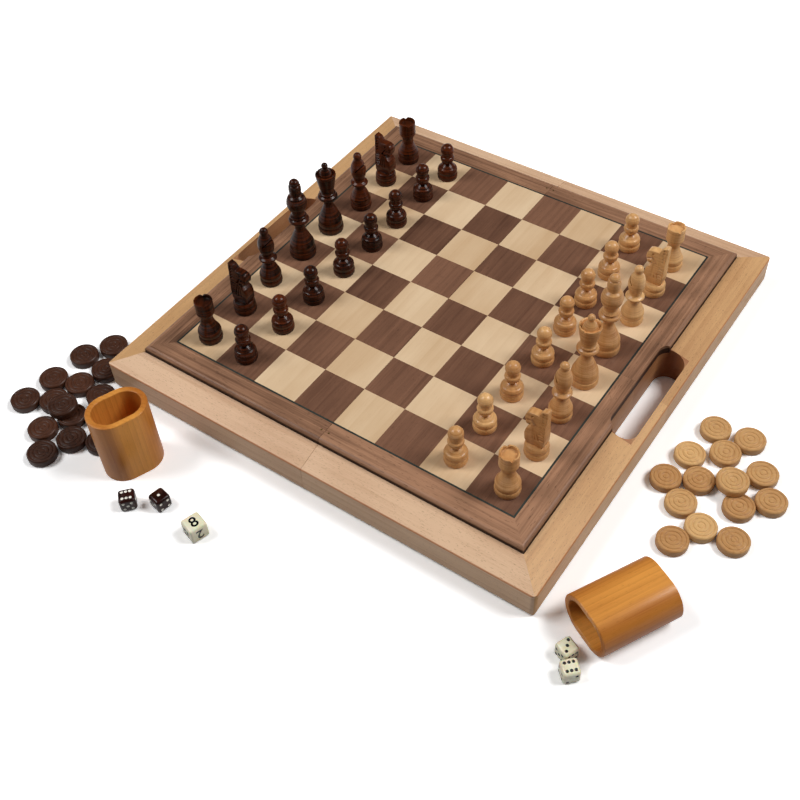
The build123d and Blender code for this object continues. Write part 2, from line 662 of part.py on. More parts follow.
# ---- build -----------------------------------------------------------------------------------
def build_half(side):
    """Write every node of one half of the case."""
    write(f"{side}_handle_rail", on_side(handle_rail(), side))
    write(f"{side}_spine_rail", on_side(spine_rail(), side))
    write(f"{side}_core_panel", on_side(core_panel(), side))
    write(f"{side}_stringing", on_side(stringing(), side))
    write(f"{side}_maple_squares", squares(side, True))
    write(f"{side}_walnut_squares", squares(side, False))
    write(f"{side}_side_border", on_side(side_border(), side))
    write(f"{side}_tray_lining", on_side(tray_lining(), side))
    write(f"{side}_light_points", [on_side(wedge, side) for wedge in point_wedges(True)])
    write(f"{side}_dark_points", [on_side(wedge, side) for wedge in point_wedges(False)])
    for end in ENDS:
        write(f"{side}_{end}_rail", on_side(at_end(end_rail(), end), side))
        write(f"{side}_{end}_border", on_side(at_end(end_border(), end), side))
    brads = [on_side(at_end(brad_tool(0), end), side) for end in ENDS]
    write(f"{side}_border_brads", brads)
    leaves = [on_side(hinge_leaf(y, side), side) for y in (-HINGE_Y, HINGE_Y)]
    write(f"{side}_hinge_leaves", leaves)
    spots = screw_spots(-HINGE_Y) + screw_spots(HINGE_Y)
    write(f"{side}_hinge_screws", [on_side(Pos(x, y, 0) * screw(), side) for x, y in spots])
    magnets = [rod(magnet_x(), y, 0, MAGNET_T, MAGNET_R) for y in (-MAGNET_Y, MAGNET_Y)]
    write(f"{side}_magnets", [on_side(magnet, side) for magnet in magnets])
    pads = [rod(PAD_X, y, FLOOR_Z, 0, PAD_R) for y in (-PAD_Y, PAD_Y)]
    write(f"{side}_felt_pads", [on_side(pad, side) for pad in pads])


def build_games():
    """Write the chessmen, checkers, cups, dice and doubling cube."""
    for side, colour in (("west", "dark"), ("east", "light")):
        for kind in MEN:
            men = chessmen(side, kind)
            write(f"{colour}_{kind}" + ("s" if len(men) > 1 else ""), men)
    write("light_checkers", heap(LIGHT_HEAP, HALF_WIDTH, 0))
    write("dark_checkers", heap(DARK_HEAP, -HALF_WIDTH, -HALF_LENGTH))
    write("upright_dice_cup", upright_cup())
    write("lying_dice_cup", lying_cup())
    write("dark_dice", dark_dice())
    write("light_dice", light_dice())
    write("doubling_cube", doubling_cube())


os.makedirs("parts", exist_ok=True)
for half in SIDES:
    build_half(half)
write("hinge_pins", [hinge_pin(-HINGE_Y), hinge_pin(HINGE_Y)])
build_games()
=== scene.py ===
"""Folding games compendium, laid open as a chessboard with its men, draughts, cups and dice set out.

The case keeps its CAD meshes and gets its woods and metals here. Everything that is loose is turned,
carved or cast again in finer detail, in the same places, and stands for its CAD node.
"""
import logging
import math
from dataclasses import dataclass, field, replace
from enum import Enum
from typing import Callable, ClassVar, Iterable, Iterator, Optional, Sequence, Union

import bmesh
import bpy
from mathutils import Matrix, Vector


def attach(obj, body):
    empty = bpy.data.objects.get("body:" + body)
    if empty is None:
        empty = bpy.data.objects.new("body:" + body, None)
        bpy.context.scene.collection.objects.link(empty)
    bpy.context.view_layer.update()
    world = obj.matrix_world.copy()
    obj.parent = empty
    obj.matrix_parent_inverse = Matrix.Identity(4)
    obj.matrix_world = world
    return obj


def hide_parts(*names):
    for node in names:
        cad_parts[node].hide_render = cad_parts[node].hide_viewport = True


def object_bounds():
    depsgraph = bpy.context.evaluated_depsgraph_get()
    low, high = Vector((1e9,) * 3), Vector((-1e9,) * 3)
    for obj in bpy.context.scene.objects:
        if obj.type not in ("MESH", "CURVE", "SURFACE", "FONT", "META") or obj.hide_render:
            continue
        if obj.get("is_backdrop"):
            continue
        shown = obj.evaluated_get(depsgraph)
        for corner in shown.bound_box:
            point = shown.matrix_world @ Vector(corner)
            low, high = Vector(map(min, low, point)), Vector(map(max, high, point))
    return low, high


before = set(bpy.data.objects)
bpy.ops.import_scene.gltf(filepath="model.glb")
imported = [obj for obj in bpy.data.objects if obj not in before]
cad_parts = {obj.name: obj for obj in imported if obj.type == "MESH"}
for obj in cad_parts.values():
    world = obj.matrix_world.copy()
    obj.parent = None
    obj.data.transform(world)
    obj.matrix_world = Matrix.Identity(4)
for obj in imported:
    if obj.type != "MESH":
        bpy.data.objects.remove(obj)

CAD_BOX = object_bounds()
LOG = logging.getLogger("compendium")

MM = 0.001
PLACE = "grain_place"
"""Attribute of a turned or carved piece: where each vertex was in its own stick of wood."""
STICK = 1.0
"""Metres between two sticks in the space that the grain is drawn in, so that no two copies match."""

Colour = tuple[float, float, float, float]
Socket = bpy.types.NodeSocket
Value = Union[float, Colour, Vector, Socket, tuple]


def tone(red: float, green: float, blue: float) -> Colour:
    """Linear colour of three sRGB values from 0 to 255."""
    def linear(value: float) -> float:
        """One channel, decoded."""
        share = value / 255
        return share / 12.92 if share <= 0.04045 else ((share + 0.055) / 1.055) ** 2.4
    return (linear(red), linear(green), linear(blue), 1.0)


SLOT_MIDDLE = 0.1723
"""Metres from the seam to the middle of a handle slot."""
SLOT_HALF_WIDTH = 0.01058
SLOT_HALF_LENGTH = 0.04758
SLOT_END = (0.040, 0.0474)
# Where along Y the painted shade on the slot walls starts to deepen, and where it is deepest.
"""Where along Y the slot's end grain starts to brown, and where it is brownest."""
RAIL_TOP_EDGE = (0.18795, 0.18965, 0.0)
"""Where the rails' outer top edge runs, along X and along Y."""
RAIL_EDGE_HEIGHT = (0.0222, 0.0228)
FOOT_SHADE_FADE = 0.0006
# Half the height over which the painted shade at the border's foot fades out.
"""Half the height over which a stain ends."""
# Tones of the painted shade in the handle slots, of the warmer tint on the rails' outer top edge and of the
# painted shade at the border's foot.
SLOT_SHADE_TONE, ARRIS_TINT, FOOT_SHADE_TONE = tone(146, 76, 48), tone(184, 100, 44), tone(38, 18, 9)


# ---- shader wiring ---------------------------------------------------------------------------
class Wiring:
    """Adds nodes to one tree and joins them, left to right."""

    def __init__(self, tree: bpy.types.NodeTree) -> None:
        """Starts with an emptied tree.

        Args:
            tree: the node tree of a material, a group or the world.
        """
        self.tree = tree
        tree.nodes.clear()

    def add(self, kind: str, inputs: Optional[dict] = None, **settings: object) -> bpy.types.Node:
        """Adds a node.

        Args:
            kind: the node's type, such as "ShaderNodeMath".
            inputs: value or source socket of each input, by name or number.
            settings: properties of the node itself.

        Returns:
            The node.
        """
        node = self.tree.nodes.new(kind)
        for name, value in settings.items():
            setattr(node, name, value)
        return self.feed(node, inputs or {})

    def feed(self, node: bpy.types.Node, inputs: dict) -> bpy.types.Node:
        """Sets or links inputs of a node, by name or number, and gives the node back."""
        for name, value in inputs.items():
            if isinstance(value, bpy.types.NodeSocket):
                self.tree.links.new(value, node.inputs[name])
            else:
                node.inputs[name].default_value = value
        return node

    def math(self, operation: str, first: Value, second: Value = 0.0, third: Value = 0.0,
             clamp: bool = False) -> Socket:
        """Result of a Math node.

        Args:
            operation: the node's operation.
            first: its first value.
            second: its second value.
            third: its third value, where the operation has one.
            clamp: whether the result is kept from 0 to 1.

        Returns:
            The result's socket.
        """
        inputs = {0: first, 1: second, 2: third}
        return self.add("ShaderNodeMath", inputs, operation=operation, use_clamp=clamp).outputs[0]

    def vector(self, operation: str, first: Value, second: Value = (0, 0, 0)) -> Socket:
        """Vector result of a Vector Math node."""
        node = self.add("ShaderNodeVectorMath", {0: first, 1: second}, operation=operation)
        return node.outputs["Value" if operation in ("LENGTH", "DOT_PRODUCT") else "Vector"]

    def axis(self, vector: Socket, name: str) -> Socket:
        """One part of a vector: "X", "Y" or "Z"."""
        return self.add("ShaderNodeSeparateXYZ", {"Vector": vector}).outputs[name]

    def mix(self, share: Value, first: Value, second: Value, blend: str = "MIX") -> Socket:
        """Colour result of a Mix node."""
        node = self.add("ShaderNodeMix", {0: share, 6: first, 7: second}, data_type="RGBA", blend_type=blend)
        return node.outputs[2]

    def span(self, value: Value, low: float, high: float, to_low: float = 0.0,
             to_high: float = 1.0) -> Socket:
        """Value, clamped from low to high and spread from to_low to to_high."""
        inputs = {"Value": value, "From Min": low, "From Max": high, "To Min": to_low, "To Max": to_high}
        return self.add("ShaderNodeMapRange", inputs, clamp=True).outputs["Result"]

    def noise(self, place: Socket, scale: Value, detail: float = 2.0, rough: float = 0.5) -> Socket:
        """Fractal noise from 0 to 1 at a place."""
        inputs = {"Vector": place, "Scale": scale, "Detail": detail, "Roughness": rough}
        return self.add("ShaderNodeTexNoise", inputs).outputs["Fac"]


class Effect:
    """A shader node group with named sockets, made the first time it is placed."""

    made: ClassVar[dict[str, bpy.types.NodeTree]] = {}

    def __init__(self, name: str, inputs: dict[str, Value], outputs: dict[str, str],
                 draw: Callable[[Wiring, bpy.types.Node], dict[str, Socket]]) -> None:
        """Keeps the recipe.

        Args:
            name: the group's name.
            inputs: name and default of each input; a tuple is a vector and a number a float.
            outputs: name and socket type of each output.
            draw: given the wiring and the Group Input node, returns the source of each output.
        """
        self.name, self.inputs, self.outputs, self.draw = name, inputs, outputs, draw

    def tree(self) -> bpy.types.NodeTree:
        """The group, drawn if it isn't there yet."""
        if self.name in Effect.made:
            return Effect.made[self.name]
        tree = bpy.data.node_groups.new(self.name, "ShaderNodeTree")
        for name, default in self.inputs.items():
            kind = "NodeSocketVector" if isinstance(default, tuple) else "NodeSocketFloat"
            socket = tree.interface.new_socket(name, in_out="INPUT", socket_type=kind)
            socket.default_value = default
        for name, kind in self.outputs.items():
            tree.interface.new_socket(name, in_out="OUTPUT", socket_type=kind)
        wiring = Wiring(tree)
        drawn = self.draw(wiring, wiring.add("NodeGroupInput"))
        wiring.add("NodeGroupOutput", drawn)
        Effect.made[self.name] = tree
        return tree

    def place(self, wiring: Wiring, inputs: dict[str, Value]) -> bpy.types.Node:
        """Places the group in a material, with its own values."""
        return wiring.add("ShaderNodeGroup", inputs, node_tree=self.tree())


FLOAT = "NodeSocketFloat"
VECTOR = "NodeSocketVector"


def draw_wood(wiring: Wiring, source: bpy.types.Node) -> dict[str, Socket]:
    """Growth rings, fibres, pores and clouds of a board whose grain runs along X.

    Args:
        wiring: the group's wiring.
        source: its Group Input node, with Vector, Ring, Fibre and Waver.

    Returns:
        The source of Rings, Fibres, Pores and Clouds.
    """
    place = source.outputs["Vector"]
    long_waves = wiring.vector("MULTIPLY", place, (3.0, 22.0, 22.0))
    waver = wiring.math("SUBTRACT", wiring.noise(long_waves, 1.0, 2.0, 0.45), 0.5)
    waver = wiring.math("MULTIPLY", waver, source.outputs["Waver"])
    across = wiring.vector("MULTIPLY", place, (0.0, 1.0, 1.0))
    depth = wiring.vector("LENGTH", wiring.vector("ADD", across, (0.0, 0.021, 0.055)))
    depth = wiring.math("ADD", depth, waver)
    turn = wiring.math("DIVIDE", depth, source.outputs["Ring"])
    share = wiring.math("FRACT", turn)
    rise = wiring.math("POWER", share, 2.6)
    fall = wiring.span(share, 0.93, 1.0, 1.0, 0.0)
    rings = wiring.math("MULTIPLY", rise, fall)
    year = wiring.math("MULTIPLY", wiring.math("FLOOR", turn), 1.37)
    weight = wiring.add("ShaderNodeTexWhiteNoise", {"W": year}, noise_dimensions="1D").outputs["Value"]
    rings = wiring.math("MULTIPLY", rings, wiring.span(weight, 0.0, 1.0, 0.35, 1.0))

    thread = wiring.vector("MULTIPLY", place, (0.022, 1.0, 1.0))
    per_fibre = wiring.math("DIVIDE", 1.0, source.outputs["Fibre"])
    fine = wiring.noise(thread, per_fibre, 2.0, 0.6)
    broad = wiring.noise(thread, wiring.math("MULTIPLY", per_fibre, 0.23), 2.0, 0.5)
    fibres = wiring.math("ADD", wiring.math("MULTIPLY", fine, 0.5), wiring.math("MULTIPLY", broad, 0.5))
    fibres = wiring.span(fibres, 0.3, 0.7)

    dash = wiring.vector("MULTIPLY", place, (0.16, 1.0, 1.0))
    pores = wiring.noise(dash, wiring.math("MULTIPLY", per_fibre, 1.5), 1.0, 0.4)
    pores = wiring.span(pores, 0.64, 0.74)
    cloud_place = wiring.vector("MULTIPLY", place, (0.4, 1.0, 1.0))
    clouds = wiring.span(wiring.noise(cloud_place, 26.0, 3.0, 0.55), 0.3, 0.7)
    return {"Rings": rings, "Fibres": fibres, "Pores": pores, "Clouds": clouds}


def draw_separate_pieces(wiring: Wiring, source: bpy.types.Node) -> dict[str, Socket]:
    """Tells the pieces of one node apart by the cell of space that each one lies in.

    Args:
        wiring: the group's wiring.
        source: its Group Input node, with Vector and Cell, the size of a cell.

    Returns:
        The source of Tone, a value per piece, and Shift, a vector per piece.
    """
    cell = wiring.vector("DIVIDE", source.outputs["Vector"], source.outputs["Cell"])
    cell = wiring.vector("FLOOR", cell)
    cell = wiring.vector("ADD", wiring.vector("MULTIPLY", cell, (1.31, 2.17, 3.07)), (0.41, 0.37, 0.29))
    random = wiring.add("ShaderNodeTexWhiteNoise", {"Vector": cell}, noise_dimensions="3D")
    shift = wiring.vector("MULTIPLY", random.outputs["Color"], (0.9, 0.31, 0.27))
    return {"Tone": random.outputs["Value"], "Shift": shift}


def draw_handling(wiring: Wiring, source: bpy.types.Node) -> dict[str, Socket]:
    """Unevenness of a rubbed or lacquered surface.

    Args:
        wiring: the group's wiring.
        source: its Group Input node, with Vector and Amount.

    Returns:
        The source of Gloss, to add to a roughness, and Height, for a bump, in metres.
    """
    place = source.outputs["Vector"]
    smears = wiring.math("SUBTRACT", wiring.noise(place, 60.0, 3.0, 0.6), 0.5)
    fine = wiring.math("SUBTRACT", wiring.noise(place, 420.0, 2.0, 0.5), 0.5)
    both = wiring.math("ADD", smears, wiring.math("MULTIPLY", fine, 0.5))
    gloss = wiring.math("MULTIPLY", both, source.outputs["Amount"])
    height = wiring.math("MULTIPLY", wiring.noise(place, 300.0, 2.0, 0.5), 0.00008)
    return {"Gloss": gloss, "Height": height}


WOOD = Effect(
    "wood_figure", {"Vector": (0.0, 0.0, 0.0), "Ring": 0.004, "Fibre": 0.0006, "Waver": 0.004},
    {"Rings": FLOAT, "Fibres": FLOAT, "Pores": FLOAT, "Clouds": FLOAT}, draw_wood)
PIECES = Effect(
    "separate_pieces", {"Vector": (0.0, 0.0, 0.0), "Cell": (1.0, 1.0, 1.0)},
    {"Tone": FLOAT, "Shift": VECTOR}, draw_separate_pieces)
HANDLING = Effect(
    "handling", {"Vector": (0.0, 0.0, 0.0), "Amount": 0.1}, {"Gloss": FLOAT, "Height": FLOAT}, draw_handling)


# ---- finishes --------------------------------------------------------------------------------
class Grain(Enum):
    """Which way the grain of a wood runs."""

    ALONG_X = (0.0, 0.0, 0.0)
    ALONG_Y = (0.0, 0.0, -math.pi / 2)
    UPRIGHT = (0.0, math.pi / 2, 0.0)
    IN_STICK = None


@dataclass(frozen=True)
class Finish:
    """What a surface is made of.

    Attributes:
        name: name of the material.
        slot: the record's material slot; not used.
    """

    made: ClassVar[dict[str, bpy.types.Material]] = {}
    name: str
    slot: str

    def material(self) -> bpy.types.Material:
        """The finish's material, made once."""
        if self.name in Finish.made:
            return Finish.made[self.name]
        material = bpy.data.materials.new(self.name)
        Finish.made[self.name] = material
        material.use_nodes = True
        wiring = Wiring(material.node_tree)
        shader = wiring.add("ShaderNodeBsdfPrincipled")
        wiring.add("ShaderNodeOutputMaterial", {"Surface": shader.outputs[0]})
        self.wire(wiring, shader)
        return material

    def wire(self, wiring: Wiring, shader: bpy.types.Node) -> None:
        """Feeds the shader; each kind of finish does it in its own way."""
        raise NotImplementedError


def object_place(wiring: Wiring) -> Socket:
    """Object coordinates, in metres."""
    return wiring.add("ShaderNodeTexCoord").outputs["Object"]


@dataclass(frozen=True)
class Timber(Finish):
    """A wood, drawn from its rings, fibres, pores and clouds.

    Attributes:
        pale: lightest tone.
        deep: darkest tone of rings and fibres.
        pore: tone of pores and flecks.
        grain: which way the grain runs.
        ring: metres between growth rings.
        fibre: width of a fibre bundle, in metres.
        waver: how far the rings stray, in metres.
        base: tone between pale, 0, and deep, 1, before anything is added.
        rings: how strongly the rings show.
        fibres: how strongly the fibres show.
        pores: how strongly the pores show.
        clouds: how strongly broad patches differ.
        spread: how much pieces of one node differ in tone.
        turnings: how strongly the fine marks of the lathe tool show round the piece.
        other_half: how much deeper the half at -X is than the one at +X, cut from another board.
        painted_slot_shade: how strongly painted shade, warmed by the light that the walls throw on each
            other, darkens the walls of the handle slots.
        painted_shade_below: height below which painted shade darkens the wood, for the shadow in the gap at
            the border's foot, or None.
        arris: how strongly the rails' outer top edge is tinted a warmer orange.
        ends: distance from the piece's own middle beyond which its tone deepens, in metres, or None.
        roughness: of the surface under the lacquer.
        specular: gloss of the wood itself, 0.5 for a dense smooth one.
        coat: weight of the lacquer.
        coat_roughness: of the lacquer.
        bump: strength of the relief of fibres and pores.
        cell: size of the cell that holds one piece of the node, or None.
        cell_start: shift that brings the cells' edges to multiples of their size.
    """

    pale: Colour
    deep: Colour
    pore: Colour
    grain: Grain = Grain.ALONG_X
    ring: float = 0.004
    fibre: float = 0.0006
    waver: float = 0.004
    base: float = 0.35
    rings: float = 0.4
    fibres: float = 0.5
    pores: float = 0.3
    clouds: float = 0.25
    spread: float = 0.2
    turnings: float = 0.0
    other_half: float = 0.0
    painted_slot_shade: float = 0.0
    painted_shade_below: Optional[float] = None
    arris: float = 0.0
    ends: Optional[float] = None
    roughness: float = 0.45
    specular: float = 0.25
    coat: float = 0.15
    coat_roughness: float = 0.2
    bump: float = 0.25
    cell: Optional[tuple[float, float, float]] = None
    cell_start: tuple[float, float, float] = (0.0, 0.0, 0.0)

    def wire(self, wiring: Wiring, shader: bpy.types.Node) -> None:
        """Feeds the shader with the wood's colour, gloss and relief."""
        if self.grain is Grain.IN_STICK:
            place = wiring.add("ShaderNodeAttribute", attribute_name=PLACE).outputs["Vector"]
            cell = (STICK, STICK, STICK)
            lot = place
        else:
            place = object_place(wiring)
            cell = self.cell or (STICK, STICK, STICK)
            lot = wiring.vector("ADD", self.cell_side(wiring, place), self.cell_start)
        piece = PIECES.place(wiring, {"Vector": lot, "Cell": cell})
        along = place
        if self.grain not in (Grain.IN_STICK, Grain.ALONG_X):
            inputs = {"Vector": place, "Rotation": self.grain.value}
            along = wiring.add("ShaderNodeMapping", inputs).outputs["Vector"]
        along = wiring.vector("ADD", along, piece.outputs["Shift"])
        figure = WOOD.place(wiring, {
            "Vector": along, "Ring": self.ring, "Fibre": self.fibre, "Waver": self.waver})
        share = self.base
        parts = [("Rings", self.rings, 0.3), ("Fibres", self.fibres, 0.5), ("Clouds", self.clouds, 0.5)]
        for output, strength, middle in parts:
            part = wiring.math("MULTIPLY_ADD", figure.outputs[output], strength, -strength * middle)
            share = wiring.math("ADD", part, share)
        lean = wiring.math("MULTIPLY_ADD", piece.outputs["Tone"], self.spread, -self.spread / 2)
        share = wiring.math("ADD", lean, share)
        if self.turnings:
            marks = wiring.noise(wiring.vector("MULTIPLY", place, (1.0, 0.04, 0.04)), 1100.0, 2.0, 0.6)
            share = wiring.math("ADD", share, wiring.span(marks, 0.3, 0.7, -self.turnings, self.turnings))
        if self.other_half:
            east = wiring.axis(place, "X")
            board = wiring.span(east, -0.0001, 0.0001, self.other_half / 2, -self.other_half / 2)
            share = wiring.math("ADD", share, board)
        if self.ends:
            middle = wiring.vector("ABSOLUTE", wiring.vector("SUBTRACT", place, (0.5, 0.5, 0.5)))
            reach = wiring.axis(middle, "Y")
            share = wiring.math("ADD", share, wiring.span(reach, self.ends, self.ends + 0.009, -0.12, 0.3))
        colour = self.add_edge_tint_and_painted_shade(wiring, place, wiring.mix(share, self.pale, self.deep))
        speck = wiring.math("MULTIPLY", figure.outputs["Pores"], self.pores)
        colour = wiring.mix(speck, colour, self.pore)
        handling = HANDLING.place(wiring, {"Vector": place, "Amount": 0.12})
        gloss = wiring.math("ADD", handling.outputs["Gloss"], self.roughness)
        relief = wiring.math("MULTIPLY", figure.outputs["Fibres"], -0.00003)
        relief = wiring.math("ADD", relief, wiring.math("MULTIPLY", speck, -0.00006))
        bump = wiring.add("ShaderNodeBump", {"Strength": self.bump, "Distance": 1.0, "Height": relief})
        wiring.feed(shader, {
            "Base Color": colour, "Roughness": gloss, "Normal": bump.outputs[0],
            "Specular IOR Level": self.specular, "Coat Weight": self.coat,
            "Coat Roughness": self.coat_roughness, "Coat IOR": 1.5,
        })

    def add_edge_tint_and_painted_shade(self, wiring: Wiring, place: Socket, colour: Socket) -> Socket:
        """Adds the marks that depend on where the surface is: painted shade on the slot walls and at the
        border's foot, and a warmer tint on the rails' outer top edge.

        Args:
            wiring: the material's wiring.
            place: Object coordinates.
            colour: the wood's colour so far.

        Returns:
            The colour with these marks.
        """
        # Painted shade on the walls of the handle slots, deepest at their ends, warm with the light the
        # walls throw on each other.
        if self.painted_slot_shade:
            slot_shade_share = wiring.math("MULTIPLY", self.slot_walls(wiring, place), self.painted_slot_shade)
            colour = wiring.mix(slot_shade_share, colour, SLOT_SHADE_TONE)
        if self.arris:
            flat = wiring.vector("ABSOLUTE", place)
            past = wiring.vector("SUBTRACT", flat, RAIL_TOP_EDGE)
            past = wiring.vector("MULTIPLY", past, (1.0, 1.0, 0.0))
            parts = wiring.add("ShaderNodeSeparateXYZ", {"Vector": past})
            outside = wiring.math("MAXIMUM", parts.outputs["X"], parts.outputs["Y"])
            height = wiring.axis(place, "Z")
            above = wiring.span(height, *RAIL_EDGE_HEIGHT)
            mask = wiring.math("MULTIPLY", wiring.span(outside, 0.0, 0.0004), above)
            colour = wiring.mix(wiring.math("MULTIPLY", mask, self.arris), colour, ARRIS_TINT)
        # Painted shade on the lower part of the border's outer edge, for the shadow in the gap beside the
        # rails.
        if self.painted_shade_below:
            height = wiring.axis(place, "Z")
            dark = wiring.span(height, self.painted_shade_below - FOOT_SHADE_FADE, self.painted_shade_below + FOOT_SHADE_FADE, 0.92, 0.0)
            colour = wiring.mix(dark, colour, FOOT_SHADE_TONE)
        return colour

    @staticmethod
    def slot_walls(wiring: Wiring, place: Socket) -> Socket:
        """Mask of the handle slots' walls for their painted shade, strongest on the end grain."""
        parts = wiring.add("ShaderNodeSeparateXYZ", {"Vector": place})
        across = wiring.math("SUBTRACT", wiring.math("ABSOLUTE", parts.outputs["X"]), SLOT_MIDDLE)
        across = wiring.math("LESS_THAN", wiring.math("ABSOLUTE", across), SLOT_HALF_WIDTH)
        along = wiring.math("ABSOLUTE", parts.outputs["Y"])
        inside = wiring.math("MULTIPLY", across, wiring.math("LESS_THAN", along, SLOT_HALF_LENGTH))
        return wiring.math("MULTIPLY", inside, wiring.span(along, *SLOT_END, 0.6, 1.0))

    def cell_side(self, wiring: Wiring, place: Socket) -> Socket:
        """Place with X counted outwards from the seam, so that both halves are cut alike."""
        if not self.cell:
            return place
        parts = wiring.add("ShaderNodeSeparateXYZ", {"Vector": place})
        outward = wiring.math("ABSOLUTE", parts.outputs["X"])
        half = wiring.math("SIGN", parts.outputs["X"])
        inputs = {"X": outward, "Y": parts.outputs["Y"], "Z": half}
        return wiring.add("ShaderNodeCombineXYZ", inputs).outputs[0]


@dataclass(frozen=True)
class Plies(Finish):
    """Plywood seen from its edge: thin layers with crossed grain.

    Attributes:
        pale: tone of the layers that run lengthways.
        deep: tone of the layers that show end grain.
        layer: thickness of two layers, in metres.
    """

    pale: Colour
    deep: Colour
    layer: float = 0.0024

    def wire(self, wiring: Wiring, shader: bpy.types.Node) -> None:
        """Feeds the shader with layers across Z."""
        place = object_place(wiring)
        height = wiring.axis(place, "Z")
        share = wiring.math("FRACT", wiring.math("DIVIDE", height, self.layer))
        band = wiring.span(share, 0.46, 0.54)
        grain = wiring.noise(wiring.vector("MULTIPLY", place, (0.05, 1.0, 1.0)), 1200.0, 2.0, 0.6)
        end_grain = wiring.noise(place, 1600.0, 2.0, 0.6)
        mottle = wiring.math("MULTIPLY_ADD", end_grain, 0.25, wiring.math("MULTIPLY", grain, 0.35))
        colour = wiring.mix(wiring.math("ADD", wiring.math("MULTIPLY", band, 0.6), mottle, clamp=True),
                            self.pale, self.deep)
        bump = wiring.add("ShaderNodeBump", {"Strength": 0.3, "Distance": 0.0001, "Height": end_grain})
        wiring.feed(shader, {"Base Color": colour, "Roughness": 0.72, "Normal": bump.outputs[0]})


@dataclass(frozen=True)
class Metal(Finish):
    """A metal, drawn and handled.

    Attributes:
        colour: its tone.
        tarnish: tone of the dulled patches.
        roughness: of the clean metal.
        brushed: stretch of the fine lines along Y, or 1 for none.
    """

    colour: Colour
    tarnish: Colour
    roughness: float = 0.3
    brushed: float = 0.05

    def wire(self, wiring: Wiring, shader: bpy.types.Node) -> None:
        """Feeds the shader with tone, brushed lines and dulled patches."""
        place = object_place(wiring)
        lines = wiring.noise(wiring.vector("MULTIPLY", place, (1.0, self.brushed, 1.0)), 3800.0, 2.0, 0.6)
        patches = wiring.span(wiring.noise(place, 240.0, 4.0, 0.6), 0.45, 0.75)
        colour = wiring.mix(wiring.math("MULTIPLY", patches, 0.5), self.colour, self.tarnish)
        gloss = wiring.math("ADD", wiring.math("MULTIPLY", lines, 0.16), self.roughness - 0.08)
        gloss = wiring.math("ADD", gloss, wiring.math("MULTIPLY", patches, 0.18))
        bump = wiring.add("ShaderNodeBump", {"Strength": 0.2, "Distance": 0.00003, "Height": lines})
        wiring.feed(shader, {
            "Base Color": colour, "Metallic": 1.0, "Roughness": gloss, "Normal": bump.outputs[0]})


@dataclass(frozen=True)
class Felt(Finish):
    """Pressed felt.

    Attributes:
        pale: tone of the raised fibres.
        deep: tone between them.
    """

    pale: Colour
    deep: Colour

    def wire(self, wiring: Wiring, shader: bpy.types.Node) -> None:
        """Feeds the shader with matted fibres and a soft nap."""
        place = object_place(wiring)
        fibres = wiring.noise(place, 2600.0, 4.0, 0.7)
        clumps = wiring.noise(place, 480.0, 2.0, 0.5)
        share = wiring.math("MULTIPLY", wiring.math("ADD", fibres, clumps), 0.5)
        colour = wiring.mix(wiring.span(share, 0.35, 0.65), self.deep, self.pale)
        bump = wiring.add("ShaderNodeBump", {"Strength": 0.8, "Distance": 0.0003, "Height": share})
        wiring.feed(shader, {
            "Base Color": colour, "Roughness": 0.95, "Normal": bump.outputs[0],
            "Sheen Weight": 0.4, "Sheen Roughness": 0.5,
        })


@dataclass(frozen=True)
class Resin(Finish):
    """Cast and tumbled resin of dice, or the paint in their pips.

    Attributes:
        pale: its tone.
        deep: tone of the faint clouds in it.
        roughness: of the surface.
        coat: weight of the polish on it.
        specular: gloss of the resin itself, 0.5 for a dense smooth one.
        depth: weight of the light scattered inside.
    """

    pale: Colour
    deep: Colour
    roughness: float = 0.25
    coat: float = 0.3
    specular: float = 0.4
    depth: float = 0.0

    def wire(self, wiring: Wiring, shader: bpy.types.Node) -> None:
        """Feeds the shader with faint clouds and a tumbled surface."""
        place = object_place(wiring)
        clouds = wiring.span(wiring.noise(place, 160.0, 3.0, 0.55), 0.35, 0.7)
        handling = HANDLING.place(wiring, {"Vector": place, "Amount": 0.14})
        bump = wiring.add("ShaderNodeBump", {
            "Strength": 0.25, "Distance": 1.0, "Height": handling.outputs["Height"]})
        wiring.feed(shader, {
            "Base Color": wiring.mix(clouds, self.pale, self.deep), "Normal": bump.outputs[0],
            "Roughness": wiring.math("ADD", handling.outputs["Gloss"], self.roughness),
            "Specular IOR Level": self.specular, "Coat Weight": self.coat, "Coat Roughness": 0.12,
            "Subsurface Weight": self.depth, "Subsurface Scale": 0.002,
        })


WALNUT = dict(
    slot="walnut", pale=tone(172, 128, 98), deep=tone(86, 55, 39), pore=tone(56, 36, 26), ring=0.0036,
    fibre=0.0010, waver=0.006, base=0.42, rings=0.45, fibres=0.8, pores=0.45, clouds=0.5,
    other_half=0.24, painted_shade_below=0.0318, roughness=0.52, coat=0.08)


BEECH = dict(slot="beech", ring=0.0065, fibre=0.0006, waver=0.010, rings=0.28, fibres=0.34, clouds=0.36)
SQUARES = dict(grain=Grain.ALONG_Y, cell=(0.0375, 0.0375, 1.0), cell_start=(0.0017, 0.0, 0.5))
POINTS = dict(grain=Grain.ALONG_Y, cell=(0.0241, 0.16, 1.0), cell_start=(-0.01015, 0.0, 0.5))
MEN = dict(grain=Grain.IN_STICK, fibre=0.0007, waver=0.003, roughness=0.42, bump=0.2)
CHECKERS = dict(
    grain=Grain.IN_STICK, ring=0.0026, fibre=0.0006, waver=0.002, pores=0.3, clouds=0.3,
    roughness=0.46, coat_roughness=0.25)


